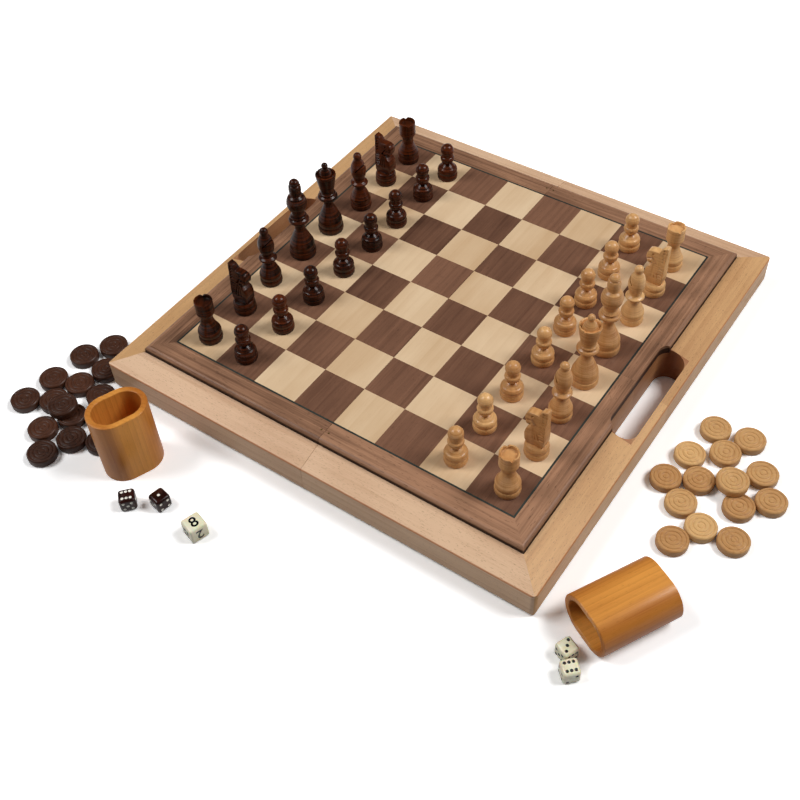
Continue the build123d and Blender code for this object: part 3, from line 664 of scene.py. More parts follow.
class Woods:
    """The compendium's woods, with the grain as each part has it."""

    # The rails along X are a paler, pinker beech than those along Y: partly painted sheen, the reflected
    # light on the near slopes, and partly the beech's own tone.
    rail_along_x = Timber(
        "beech_along_x", **BEECH, pale=tone(230, 192, 156), deep=tone(176, 122, 80), pore=tone(130, 84, 50),
        grain=Grain.ALONG_X, base=0.24, pores=0.5, arris=0.7)
    rail_along_y = Timber(
        "beech_along_y", **BEECH, pale=tone(216, 169, 117), deep=tone(158, 101, 54), pore=tone(112, 66, 34),
        grain=Grain.ALONG_Y, base=0.22, pores=0.55, painted_slot_shade=0.7, arris=0.6)
    border_along_x = Timber("walnut_along_x", **WALNUT, grain=Grain.ALONG_X)
    border_along_y = Timber("walnut_along_y", **WALNUT, grain=Grain.ALONG_Y)
    maple_squares = Timber(
        "maple_veneer", "maple_veneer", **SQUARES, pale=tone(230, 201, 164), deep=tone(192, 152, 108),
        pore=tone(176, 138, 100), ring=0.007, fibre=0.0010, waver=0.012, base=0.3, rings=0.14,
        fibres=0.16, pores=0.1, clouds=0.5, spread=0.35)
    walnut_squares = Timber(
        "walnut_veneer", "walnut_veneer", **SQUARES, pale=tone(134, 95, 73), deep=tone(74, 46, 34),
        pore=tone(52, 33, 25), ring=0.0045, fibre=0.0007, waver=0.008, base=0.38, rings=0.28,
        fibres=0.42, pores=0.35, clouds=0.45, spread=0.4)
    stringing = Timber(
        "dyed_stringing", "stringing", pale=tone(60, 66, 60), deep=tone(30, 34, 32),
        pore=tone(20, 24, 22), grain=Grain.ALONG_Y, ring=0.003, fibre=0.0008, base=0.5)
    lining = Timber(
        "lining_veneer", "lining_veneer", pale=tone(214, 172, 126), deep=tone(168, 118, 76),
        pore=tone(128, 88, 56), grain=Grain.ALONG_Y, ring=0.008, fibre=0.0011, waver=0.014,
        base=0.4, rings=0.3, fibres=0.4)
    light_points = Timber(
        "light_point_veneer", "maple_veneer", **POINTS, pale=tone(236, 214, 182), deep=tone(206, 170, 130),
        pore=tone(180, 144, 106), ring=0.007, fibre=0.0010, waver=0.012, base=0.3, rings=0.25,
        fibres=0.35, pores=0.12)
    dark_points = Timber(
        "dark_point_veneer", "walnut_veneer", **POINTS, pale=tone(128, 88, 64), deep=tone(70, 44, 33),
        pore=tone(52, 33, 25), ring=0.0045, fibre=0.0009, waver=0.008, base=0.4, rings=0.35,
        fibres=0.6, pores=0.3)
    dark_men = Timber(
        "stained_wood", "dark_stained_wood", **MEN, pale=tone(98, 42, 14), deep=tone(17, 6, 3),
        pore=tone(12, 5, 4), ring=0.0042, base=0.62, rings=0.25, fibres=0.25, pores=0.25, clouds=0.6,
        spread=0.3, turnings=0.45, specular=0.08, coat=0.28, coat_roughness=0.16)
    light_men = Timber(
        "boxwood", "boxwood", **MEN, pale=tone(238, 188, 126), deep=tone(172, 104, 46),
        pore=tone(126, 72, 32), ring=0.0038, base=0.40, rings=0.15, fibres=0.15, pores=0.2, clouds=0.3,
        spread=0.35, turnings=0.24, specular=0.25, coat=0.35, coat_roughness=0.18)
    dark_checkers = Timber(
        "dark_checker_wood", "dark_checker_wood", **CHECKERS, pale=tone(88, 50, 31), deep=tone(34, 18, 11),
        pore=tone(20, 10, 7), base=0.48, rings=0.35, fibres=0.3, spread=0.4, coat=0.2)
    light_checkers = Timber(
        "light_checker_wood", "light_checker_wood", **CHECKERS, pale=tone(222, 178, 120),
        deep=tone(160, 100, 48), pore=tone(130, 80, 40), base=0.34, rings=0.25, fibres=0.25, spread=0.6,
        coat=0.18)
    cup = Timber(
        "cup_wood", "cup_wood", pale=tone(234, 160, 72), deep=tone(168, 92, 28),
        pore=tone(110, 56, 16), grain=Grain.IN_STICK, ring=0.0032, fibre=0.0008, waver=0.003,
        base=0.4, rings=0.3, fibres=0.28, pores=0.2, clouds=0.4, spread=0.1, ends=0.007,
        roughness=0.42, coat=0.25, coat_roughness=0.2)


class Castings:
    """Metals, felt, resin and paint."""

    plywood = Plies("plywood_edge", "plywood", pale=tone(206, 174, 132), deep=tone(150, 110, 74))
    brass = Metal("hinge_brass", "brass", colour=tone(226, 188, 106), tarnish=tone(168, 124, 62))
    steel = Metal("drawn_steel", "steel", colour=tone(196, 194, 188), tarnish=tone(132, 128, 122))
    nickel = Metal(
        "plated_nickel", "magnet_nickel", colour=tone(212, 208, 200), tarnish=tone(160, 156, 148),
        roughness=0.16, brushed=1.0)
    felt = Felt("pad_felt", "felt", pale=tone(74, 100, 76), deep=tone(30, 48, 34))
    dark_resin = Resin(
        "dark_resin", "dark_resin", pale=tone(52, 18, 12), deep=tone(26, 9, 7), coat=0.15, specular=0.2)
    ivory_resin = Resin(
        "ivory_resin", "ivory_resin", pale=tone(246, 240, 212), deep=tone(236, 228, 192), depth=0.25)
    white_paint = Resin("white_pips", "ivory_resin", pale=tone(244, 242, 232), deep=tone(228, 226, 214))
    black_paint = Resin("black_pips", "dark_resin", pale=tone(28, 26, 25), deep=tone(18, 17, 16))


# ---- workshop --------------------------------------------------------------------------------
def placed(x: float = 0.0, y: float = 0.0, z: float = 0.0, turn: float = 0.0) -> Matrix:
    """A shift, after a turn about Z in degrees."""
    return Matrix.Translation((x, y, z)) @ Matrix.Rotation(math.radians(turn), 4, "Z")


def linked(name: str, data: bpy.types.ID) -> bpy.types.Object:
    """A new object, put in the scene."""
    item = bpy.data.objects.new(name, data)
    bpy.context.scene.collection.objects.link(item)
    return item


def middle_place(box: tuple[Vector, Vector], turn: float, standing: bool = False) -> Matrix:
    """Where a solid is: its middle, or the middle of its foot if standing, turned about Z in degrees."""
    low, high = box
    middle = (low + high) / 2
    return placed(middle.x, middle.y, low.z if standing else middle.z, turn)


def bevelled(stock: bmesh.types.BMesh, geom: list, offset: float, segments: int,
             affect: str = "EDGES") -> None:
    """Rounds edges, or the corners of a flat section, by an offset in metres."""
    bmesh.ops.bevel(
        stock, geom=geom, offset=offset, offset_type="OFFSET", affect=affect, segments=segments,
        profile=0.5, material=-1, clamp_overlap=True)


def to_mesh(stock: bmesh.types.BMesh, name: str) -> bpy.types.Mesh:
    """Turns a finished bmesh into a mesh with its faces outwards."""
    bmesh.ops.remove_doubles(stock, verts=stock.verts[:], dist=2e-6)
    bmesh.ops.recalc_face_normals(stock, faces=stock.faces[:])
    mesh = bpy.data.meshes.new(name)
    stock.to_mesh(mesh)
    stock.free()
    return mesh


def dressed(mesh: bpy.types.Mesh, finish: Finish) -> bpy.types.Mesh:
    """Gives a mesh its finish."""
    mesh.materials.clear()
    mesh.materials.append(finish.material())
    return mesh


def cut_away(stock: bpy.types.Mesh, cutter: bpy.types.Mesh, crossing: bool = False) -> bpy.types.Mesh:
    """Takes one closed mesh out of another.

    Args:
        stock: the mesh that is cut.
        cutter: what is cut away; the cut faces keep its material.
        crossing: whether parts of the cutter run through each other.

    Returns:
        The mesh that is left.
    """
    body, tool = linked("stock", stock), linked("cutter", cutter)
    boolean = body.modifiers.new("cut", "BOOLEAN")
    boolean.operation = "DIFFERENCE"
    boolean.solver = "EXACT"
    boolean.use_self = crossing
    boolean.material_mode = "TRANSFER"
    boolean.object = tool
    graph = bpy.context.evaluated_depsgraph_get()
    left = bpy.data.meshes.new_from_object(body.evaluated_get(graph))
    for item in (body, tool):
        bpy.data.objects.remove(item)
    return left


class Lathe:
    """Half a section in the XZ plane, drawn from the axis outwards and up, then turned about Z."""

    def __init__(self, radius: float, height: float, unit: float = MM) -> None:
        """Starts on the axis and goes straight out.

        Args:
            radius: of the foot.
            height: of the foot.
            unit: metres in one unit of the drawing.
        """
        self.section = bmesh.new()
        self.unit = unit
        self.tip = self.section.verts.new((0.0, 0.0, height * unit))
        self.line(radius, height)

    def line(self, radius: float, height: float) -> "Lathe":
        """Goes straight to a radius and height."""
        end = self.section.verts.new((radius * self.unit, 0.0, height * self.unit))
        self.section.edges.new((self.tip, end))
        self.tip = end
        return self

    def arc(self, mid_radius: float, mid_height: float, radius: float, height: float,
            steps: int = 5) -> "Lathe":
        """Goes along an arc.

        Args:
            mid_radius: radius of a point that the arc passes through.
            mid_height: its height.
            radius: radius of the arc's end.
            height: its height.
            steps: edges in the arc.

        Returns:
            The lathe itself.
        """
        start = self.tip.co.xz
        middle = Vector((mid_radius, mid_height)) * self.unit
        end = Vector((radius, height)) * self.unit
        centre = circle_centre(start, middle, end)
        first, second, last = (math.atan2(p.x - centre.x, p.y - centre.y) for p in (start, middle, end))
        sweep = (last - first) % math.tau
        if (second - first) % math.tau > sweep:
            sweep -= math.tau
        spun = bmesh.ops.spin(
            self.section, geom=[self.tip], cent=(centre.x, 0.0, centre.y), axis=(0.0, 1.0, 0.0),
            angle=sweep, steps=steps)
        self.tip = next(item for item in spun["geom_last"] if isinstance(item, bmesh.types.BMVert))
        return self

    def ball(self, radius: float, top: float, steps: int = 9) -> "Lathe":
        """Ends the section with a knob of the given radius and top height."""
        centre = top - radius
        neck = self.tip.co.x / self.unit
        root = centre - math.sqrt(radius ** 2 - neck ** 2)
        self.line(neck, root)
        return self.arc(radius, centre, 0.0, top, steps)

    def close(self, height: float) -> "Lathe":
        """Ends the section on the axis."""
        return self.line(0.0, height)

    def turn(self, steps: int = 48, ease: float = 0.25 * MM) -> bmesh.types.BMesh:
        """Eases the corners and turns the section.

        Args:
            steps: faces round the piece.
            ease: how far a corner is rounded, in metres.

        Returns:
            The closed bmesh.
        """
        section = self.section
        corners = [vert for vert in section.verts if bend_at(vert) > math.radians(24)]
        bevelled(section, corners, ease, 2, "VERTICES")
        bmesh.ops.spin(
            section, geom=section.verts[:] + section.edges[:], cent=(0.0, 0.0, 0.0),
            axis=(0.0, 0.0, 1.0), angle=math.tau, steps=steps, use_merge=True)
        bmesh.ops.remove_doubles(section, verts=section.verts[:], dist=2e-6)
        bmesh.ops.recalc_face_normals(section, faces=section.faces[:])
        return section


def circle_centre(first: Vector, second: Vector, third: Vector) -> Vector:
    """Centre of the circle through three points of a plane."""
    a, b = second - first, third - first
    cross = 2 * (a.x * b.y - a.y * b.x)
    x = (b.y * a.length_squared - a.y * b.length_squared) / cross
    y = (a.x * b.length_squared - b.x * a.length_squared) / cross
    return first + Vector((x, y))


def bend_at(vert: bmesh.types.BMVert) -> float:
    """Angle that a chain of edges turns through at one of its points, in radians."""
    if len(vert.link_edges) != 2 or vert.co.x < 1e-6:
        return 0.0
    away = [(edge.other_vert(vert).co - vert.co) for edge in vert.link_edges]
    return math.pi - away[0].angle(away[1])


def slab(outline: Sequence[tuple[float, float]], thickness: float, unit: float = MM) -> bmesh.types.BMesh:
    """A flat board cut to an outline in the XZ plane, its faces square to Y.

    Args:
        outline: its corners in order, as X and Z.
        thickness: along Y, centred on the outline's plane.
        unit: metres in one unit of the drawing.

    Returns:
        The closed bmesh.
    """
    board = bmesh.new()
    back = thickness / 2
    verts = [board.verts.new((x * unit, -back * unit, z * unit)) for x, z in outline]
    face = board.faces.new(verts)
    sheet = bmesh.ops.extrude_face_region(board, geom=[face])
    moved = [item for item in sheet["geom"] if isinstance(item, bmesh.types.BMVert)]
    bmesh.ops.translate(board, verts=moved, vec=(0.0, thickness * unit, 0.0))
    bmesh.ops.recalc_face_normals(board, faces=board.faces[:])
    return board


def block(size: Sequence[float], place: Matrix, unit: float = MM) -> bmesh.types.BMesh:
    """A rectangular block about its centre, moved to its place."""
    stock = bmesh.new()
    bmesh.ops.create_cube(stock, size=1.0)
    bmesh.ops.scale(stock, verts=stock.verts[:], vec=Vector(size) * unit)
    bmesh.ops.transform(stock, verts=stock.verts[:], matrix=place)
    return stock


def joined(parts: Iterable[bmesh.types.BMesh], name: str) -> bpy.types.Mesh:
    """Several bmeshes as one mesh, each kept as it is."""
    whole = bmesh.new()
    for part in parts:
        mesh = to_mesh(part, name)
        whole.from_mesh(mesh)
        bpy.data.meshes.remove(mesh)
    mesh = bpy.data.meshes.new(name)
    whole.to_mesh(mesh)
    whole.free()
    return mesh


def rounded_edges(stock: bmesh.types.BMesh, offset: float, segments: int, least_bend: float = 30.0) -> None:
    """Rounds every edge that bends by more than the given angle, in degrees."""
    edges = [
        edge for edge in stock.edges
        if len(edge.link_faces) == 2 and edge.calc_face_angle(0.0) > math.radians(least_bend)
    ]
    bevelled(stock, edges, offset, segments)


@dataclass(frozen=True)
class Copy:
    """One copy of a pattern in a set.

    Attributes:
        mesh: the pattern.
        place: where it goes.
        flat_grain: whether its grain runs along the pattern's X, not up its Z.
    """

    mesh: bpy.types.Mesh
    place: Matrix
    flat_grain: bool = False


def set_out(name: str, node: str, body: str, finish: Finish, copies: Sequence[Copy],
            smooth_to: float = 38.0) -> bpy.types.Object:
    """Joins the copies of a set into the one piece that stands for a CAD node.

    Args:
        name: the piece's name.
        node: the CAD node that it stands for.
        body: the CAD body that it rides on.
        finish: the piece's finish; not used.
        copies: the meshes and their places.
        smooth_to: edges that bend less than this, in degrees, are shaded smooth.

    Returns:
        The piece.
    """
    whole = bmesh.new()
    layer = whole.verts.layers.float_vector.new(PLACE)
    materials: list[bpy.types.Material] = []
    for number, copy in enumerate(copies):
        first_vert, first_face = len(whole.verts), len(whole.faces)
        whole.from_mesh(copy.mesh)
        whole.verts.ensure_lookup_table()
        whole.faces.ensure_lookup_table()
        verts = whole.verts[first_vert:]
        stick = Vector((number + 0.5, 0.5, 0.5)) * STICK
        for vert in verts:
            vert[layer] = stick + (vert.co if copy.flat_grain else vert.co.zxy)
        bmesh.ops.transform(whole, verts=verts, matrix=copy.place)
        slots = list(copy.mesh.materials)
        for material in slots:
            if material not in materials:
                materials.append(material)
        for face in whole.faces[first_face:]:
            face.material_index = materials.index(slots[face.material_index])
    mesh = bpy.data.meshes.new(name)
    whole.to_mesh(mesh)
    whole.free()
    for material in materials:
        mesh.materials.append(material)
    mesh.shade_smooth()
    mesh.set_sharp_from_angle(angle=math.radians(smooth_to))
    piece = linked(name, mesh)
    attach(piece, body)
    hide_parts(node)
    LOG.info("%s: %d copies, %d faces, for %s on %s", name, len(copies), len(mesh.polygons), node, body)
    return piece


def solids_of(node: str) -> list[tuple[Vector, Vector]]:
    """Lowest and highest corner of each separate solid of a CAD node, from near to far and left to right.

    Args:
        node: the node's name.

    Returns:
        The corners, in metres.
    """
    copy = bmesh.new()
    copy.from_mesh(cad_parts[node].data)
    bmesh.ops.remove_doubles(copy, verts=copy.verts[:], dist=1e-6)
    left = set(copy.verts)
    found = []
    while left:
        edge = [left.pop()]
        solid = []
        while edge:
            vert = edge.pop()
            solid.append(vert.co.copy())
            for link in vert.link_edges:
                other = link.other_vert(vert)
                if other in left:
                    left.discard(other)
                    edge.append(other)
        low = Vector(tuple(min(point[axis] for point in solid) for axis in range(3)))
        high = Vector(tuple(max(point[axis] for point in solid) for axis in range(3)))
        found.append((low, high))
    copy.free()
    return sorted(found, key=lambda box: (round(box[0].y, 4), round(box[0].x, 4)))


# ---- the case --------------------------------------------------------------------------------
@dataclass
class Case:
    """The folding case: its CAD meshes stay, and get their woods and metals.

    Attributes:
        halves: the names of its two halves.
    """

    halves: tuple[str, ...] = ("west", "east")
    parts: dict[str, Finish] = field(default_factory=lambda: {
        "handle_rail": Woods.rail_along_y, "spine_rail": Woods.rail_along_y,
        "near_rail": Woods.rail_along_x, "far_rail": Woods.rail_along_x,
        "side_border": Woods.border_along_y, "near_border": Woods.border_along_x,
        "far_border": Woods.border_along_x, "stringing": Woods.stringing,
        "core_panel": Castings.plywood, "maple_squares": Woods.maple_squares,
        "walnut_squares": Woods.walnut_squares, "tray_lining": Woods.lining,
        "light_points": Woods.light_points, "dark_points": Woods.dark_points,
        "hinge_leaves": Castings.brass, "hinge_screws": Castings.brass,
        "border_brads": Castings.brass, "magnets": Castings.nickel, "felt_pads": Castings.felt,
    })

    def dress(self) -> None:
        """Gives every part of both halves its finish."""
        for half in self.halves:
            for part, finish in self.parts.items():
                self.dress_node(f"{half}_{part}", finish)
        self.dress_node("hinge_pins", Castings.steel)

    @staticmethod
    def dress_node(node: str, finish: Finish) -> None:
        """Gives one CAD node its finish."""
        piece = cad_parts[node]
        material = finish.material()
        if not piece.material_slots:
            piece.data.materials.append(material)
        for slot in piece.material_slots:
            slot.material = material
        LOG.info("%s: %s", node, finish.name)


# ---- chessmen --------------------------------------------------------------------------------
@dataclass
class Chessmen:
    """One player's sixteen men. They are drawn in hundredths of the king's height.

    Attributes:
        colour: how their CAD nodes' names start.
        finish: their wood.
        turn: which way they look, in degrees from +X.
        king: height of the king, in metres.
        round_steps: faces round a turned man.
        ease: how far his corners are rounded, in metres.
    """

    colour: str
    finish: Timber
    turn: float
    king: float = 0.072
    round_steps: int = 48
    ease: float = 0.22 * MM

    @property
    def unit(self) -> float:
        """Metres in one unit of the drawings."""
        return self.king / 100

    def build(self) -> None:
        """Makes and sets out all the men."""
        kinds = {
            "pawns": self.pawn, "rooks": self.rook, "knights": self.knight,
            "bishops": self.bishop, "queen": self.queen, "king": self.make_king,
        }
        for kind, make in kinds.items():
            node = f"{self.colour}_{kind}"
            pattern = make()
            if not any(pattern.materials):
                dressed(pattern, self.finish)
            copies = [Copy(pattern, middle_place(box, self.turn, True)) for box in solids_of(node)]
            set_out(f"turned_{node}", node, node, self.finish, copies)

    def turned(self, lathe: Lathe) -> bpy.types.Mesh:
        """Takes a man off the lathe."""
        return to_mesh(lathe.turn(self.round_steps, self.ease), "turned_man")

    def pawn(self) -> bpy.types.Mesh:
        """Pawn: ringed foot, waisted stem, collar and ball."""
        lathe = Lathe(11.6, 0, self.unit)
        lathe.arc(12.1, 2.4, 11.8, 6.6).line(11.2, 7.2).line(11.3, 8.8).arc(11.8, 12, 10.3, 15.2)
        lathe.line(9.5, 15.5).arc(7, 18, 4, 20.2, 7).arc(6.7, 22.8, 8, 27).arc(8.1, 28.9, 6.5, 30.6)
        return self.turned(lathe.ball(7.8, 46.5))

    def rook(self) -> bpy.types.Mesh:
        """Rook: turned tower, hollow top and four embrasures."""
        lathe = Lathe(12.3, 0, self.unit)
        lathe.arc(12.9, 2.6, 12.6, 6.8).line(11.9, 7.5).line(12, 8.6).arc(12.6, 11, 11.3, 15.8)
        lathe.arc(9, 20.6, 7, 26.6, 7).arc(6.6, 30.6, 7.2, 35.2, 5).line(8, 35.9).arc(9.5, 38, 9.7, 41)
        lathe.line(9.8, 53.8).line(9.7, 54.9).line(8.1, 54.9).line(8, 51)
        tower = self.turned(lathe.close(51))
        notches = []
        for angle in (45.0, 135.0):
            turn = Matrix.Rotation(math.radians(angle), 4, "Z")
            tilt = Matrix.Rotation(math.radians(45.0), 4, "X")
            place = Matrix.Translation((0.0, 0.0, 54.9 * self.unit)) @ turn @ tilt
            notches.append(block((30.0, 3.6, 3.6), place, self.unit))
        return cut_away(tower, joined(notches, "embrasures"), crossing=True)

    def knight(self) -> bpy.types.Mesh:
        """Knight: turned foot and a flat-sided carved head that narrows to the ears."""
        lathe = Lathe(12, 0, self.unit)
        lathe.arc(12.5, 2.4, 12.2, 6.4).line(11.5, 7.1).line(11.6, 8.2).arc(12.2, 10.6, 11.2, 14)
        lathe.line(10.2, 15.4)
        lathe.close(15.4)
        foot = lathe.turn(self.round_steps, self.ease)
        mane = [
            (-8.2, 15), (-9.6, 18.6), (-10, 30.6), (-9.6, 39), (-9.7, 47.2), (-10.2, 56), (-10.6, 64.2),
            (-9.4, 65.6), (-3.8, 63.1)]
        face = [(-1.2, 57.2), (1.8, 57.6), (7.8, 57), (11.2, 55.2), (12.4, 50.6), (11.8, 46.1), (10, 42.5)]
        chest = [(6.7, 41.9), (4.7, 43.3), (5.8, 39.2), (10, 35.6), (11.4, 29.2), (10.8, 20.2), (8.2, 15)]
        head = slab(mane + face + chest, 12.8, self.unit)
        rounded_edges(head, 0.32 * MM, 2, 25.0)
        for vert in head.verts:
            vert.co.y *= self.head_width(vert.co.z / self.unit) / 6.4
        carved = cut_away(to_mesh(head, "carved_head"), joined(self.carving(), "carving"), crossing=True)
        whole = bmesh.new()
        whole.from_mesh(to_mesh(foot, "knight_foot"))
        whole.from_mesh(carved)
        mesh = bpy.data.meshes.new("carved_knight")
        whole.to_mesh(mesh)
        whole.free()
        return mesh

    @staticmethod
    def head_width(height: float) -> float:
        """Half the thickness of the knight's head at a height, both in drawing units."""
        waist = 0.8 * min(1.0, max(0.0, (19 - height) / 4))
        return 6.4 - waist - 3.1 * min(1.0, max(0.0, (height - 36) / 30))

    def carving(self) -> Iterator[bmesh.types.BMesh]:
        """The chisel cuts in both cheeks of the knight.

        Yields:
            Cutters: the combed mane, the fan of the jaw, the mouth and the eye.
        """
        strokes = [((-6.1, 27.0 + 3.4 * row), 5.6, 0.0) for row in range(5)]
        strokes += [((-7.0, 47.0 + 3.6 * row), 3.8, 28.0) for row in range(5)]
        strokes += [((-1.4, 33.0), 17.0, 72.0), ((1.0, 32.5), 17.0, 80.0), ((3.2, 31.5), 14.0, 90.0)]
        strokes += [((5.5, 42.6), 5.0, 12.0), ((2.6, 46.5), 9.0, 58.0), ((8.9, 47.2), 7.0, -14.0)]
        for side in (-1, 1):
            for (along, height), length, angle in strokes:
                lean = Matrix.Rotation(math.radians(-angle), 4, "Y")
                edge = Matrix.Rotation(math.radians(45.0), 4, "X")
                spot = Vector((along, side * (self.head_width(height) + 0.1), height)) * self.unit
                yield block((length, 2.1, 2.1), Matrix.Translation(spot) @ lean @ edge, self.unit)
            eye = bmesh.new()
            bmesh.ops.create_uvsphere(eye, u_segments=16, v_segments=8, radius=1.5 * self.unit)
            spot = Vector((4.8, side * (self.head_width(53.4) + 0.1), 53.4)) * self.unit
            bmesh.ops.translate(eye, verts=eye.verts[:], vec=spot)
            yield eye

    def bishop(self) -> bpy.types.Mesh:
        """Bishop: collar, slit mitre and bead."""
        lathe = Lathe(11.9, 0, self.unit)
        lathe.arc(12.4, 2.4, 12.1, 6.4).line(11.4, 7.1).line(11.5, 8.2).arc(12.2, 11, 10.9, 16.2, 6)
        lathe.arc(8.8, 21.4, 6, 27.2, 6).arc(5.5, 29.4, 5.6, 31.6).line(8.6, 32.7)
        lathe.arc(10.1, 34.4, 8.6, 36.2).line(6.6, 37.6).line(6.4, 41).arc(9, 52.4, 4.3, 66.4, 10)
        body = self.turned(lathe.ball(4.8, 75.2))
        tilt = Matrix.Rotation(math.radians(-50), 4, "Y")
        place = Matrix.Translation(Vector((5.9, 0.0, 58.6)) * self.unit) @ tilt
        slit = to_mesh(block((12.5, 22.0, 1.1), place, self.unit), "slit")
        # The slit's faces take the deep tone without gloss: painted shade inside the narrow slit.
        shade = replace(
            self.finish, name=f"{self.finish.name}_painted_slit_shade", pale=self.finish.deep, specular=0.0, coat=0.0)
        return cut_away(dressed(body, self.finish), dressed(slit, shade))

    def queen(self) -> bpy.types.Mesh:
        """Queen: double collar, coronet with four nicks, dome and bead."""
        lathe = Lathe(14.1, 0, self.unit)
        lathe.arc(14.7, 2.6, 14.4, 7.2).line(13.6, 7.9).line(13.7, 9.1).arc(13.9, 13.4, 11.6, 21, 7)
        lathe.arc(8.8, 28.4, 5.6, 35.4, 7).arc(5.2, 39.6, 5.8, 43.6, 5).line(9.9, 45.2)
        lathe.arc(11.4, 47.4, 10, 49.6).line(8.2, 50.6).arc(9.3, 52.1, 8.1, 53.6).line(7.8, 56.4)
        lathe.line(9, 62).arc(10.1, 68, 11.5, 76.2, 6).line(11.3, 78.4).line(9.6, 78.2).line(8.2, 75.6)
        lathe.arc(6.4, 79.8, 3.2, 84.6, 8)
        body = self.turned(lathe.ball(3.7, 92.4))
        nicks = []
        for angle in (0, 90, 180, 270):
            turn = Matrix.Rotation(math.radians(angle), 4, "Z")
            tilt = Matrix.Rotation(math.radians(45.0), 4, "X")
            place = turn @ Matrix.Translation(Vector((12.0, 0.0, 78.6)) * self.unit) @ tilt
            nicks.append(block((5.6, 2.2, 2.2), place, self.unit))
        return cut_away(body, joined(nicks, "nicks"))

    def make_king(self) -> bpy.types.Mesh:
        """King: double collar, round crown and a thimble-shaped knob."""
        lathe = Lathe(14.6, 0, self.unit)
        lathe.arc(15.1, 2.8, 14.8, 8.6).line(14, 9.4).line(14.1, 10.8).arc(14.3, 14, 12.1, 21.4, 7)
        lathe.arc(9.1, 28.4, 6, 35.6, 7).arc(5.6, 40, 6.2, 45, 5).line(10.2, 46.8)
        lathe.arc(11.5, 49.2, 10.2, 51.6).line(8.4, 52.6).arc(9.4, 54.3, 8.3, 56).line(6.9, 58.4)
        lathe.line(7.4, 61.8).arc(11.3, 72.4, 9, 80.6, 9).line(7.2, 81.8).line(5.8, 82.8)
        lathe.arc(6.8, 89, 6.4, 95.2, 6).line(5.3, 96.2)
        return self.turned(lathe.ball(5.7, 102.9))


# ---- draughts --------------------------------------------------------------------------------
@dataclass
class Draughts:
    """One player's fifteen draughtsmen, with turned rings on both faces.

    Attributes:
        colour: how their CAD node's name starts.
        finish: their wood.
        radius: in metres.
        thickness: in metres.
        edge: width of the chamfer, in metres.
        rings: radius of each turned groove, as a share of the radius.
        groove: half width and depth of a groove, in metres.
    """

    colour: str
    finish: Timber
    radius: float = 0.01125
    thickness: float = 0.0065
    edge: float = 0.0008
    rings: tuple[float, ...] = (0.22, 0.5, 0.78)
    groove: float = 0.00065

    def build(self) -> None:
        """Makes and lays out the draughtsmen."""
        node = f"{self.colour}_checkers"
        pattern = dressed(self.pattern(), self.finish)
        copies = [
            Copy(pattern, middle_place(box, 67.0 * number + 20, True), flat_grain=True)
            for number, box in enumerate(solids_of(node))]
        set_out(f"turned_{node}", node, node, self.finish, copies, 30.0)

    def pattern(self) -> bpy.types.Mesh:
        """One draughtsman."""
        lathe = Lathe(0.0001, self.groove * 0.4, 1.0)
        for share in self.rings:
            self.groove_at(lathe, share * self.radius, 0.0, 1)
        lathe.line(self.radius - self.edge, 0.0).line(self.radius, self.edge)
        lathe.line(self.radius, self.thickness - self.edge)
        lathe.line(self.radius - self.edge, self.thickness)
        for share in reversed(self.rings):
            self.groove_at(lathe, share * self.radius, self.thickness, -1)
        lathe.close(self.thickness - self.groove * 0.4)
        return to_mesh(lathe.turn(48, 0.12 * MM), "draughtsman")

    def groove_at(self, lathe: Lathe, radius: float, face: float, way: int) -> None:
        """Turns one groove into a face.

        Args:
            lathe: the lathe.
            radius: middle of the groove.
            face: height of the face.
            way: 1 on the lower face, drawn outwards, or -1 on the upper, drawn inwards.
        """
        near, far = radius - way * self.groove, radius + way * self.groove
        depth = face + way * self.groove
        lathe.line(near, face).arc(radius, depth, far, face, 4)


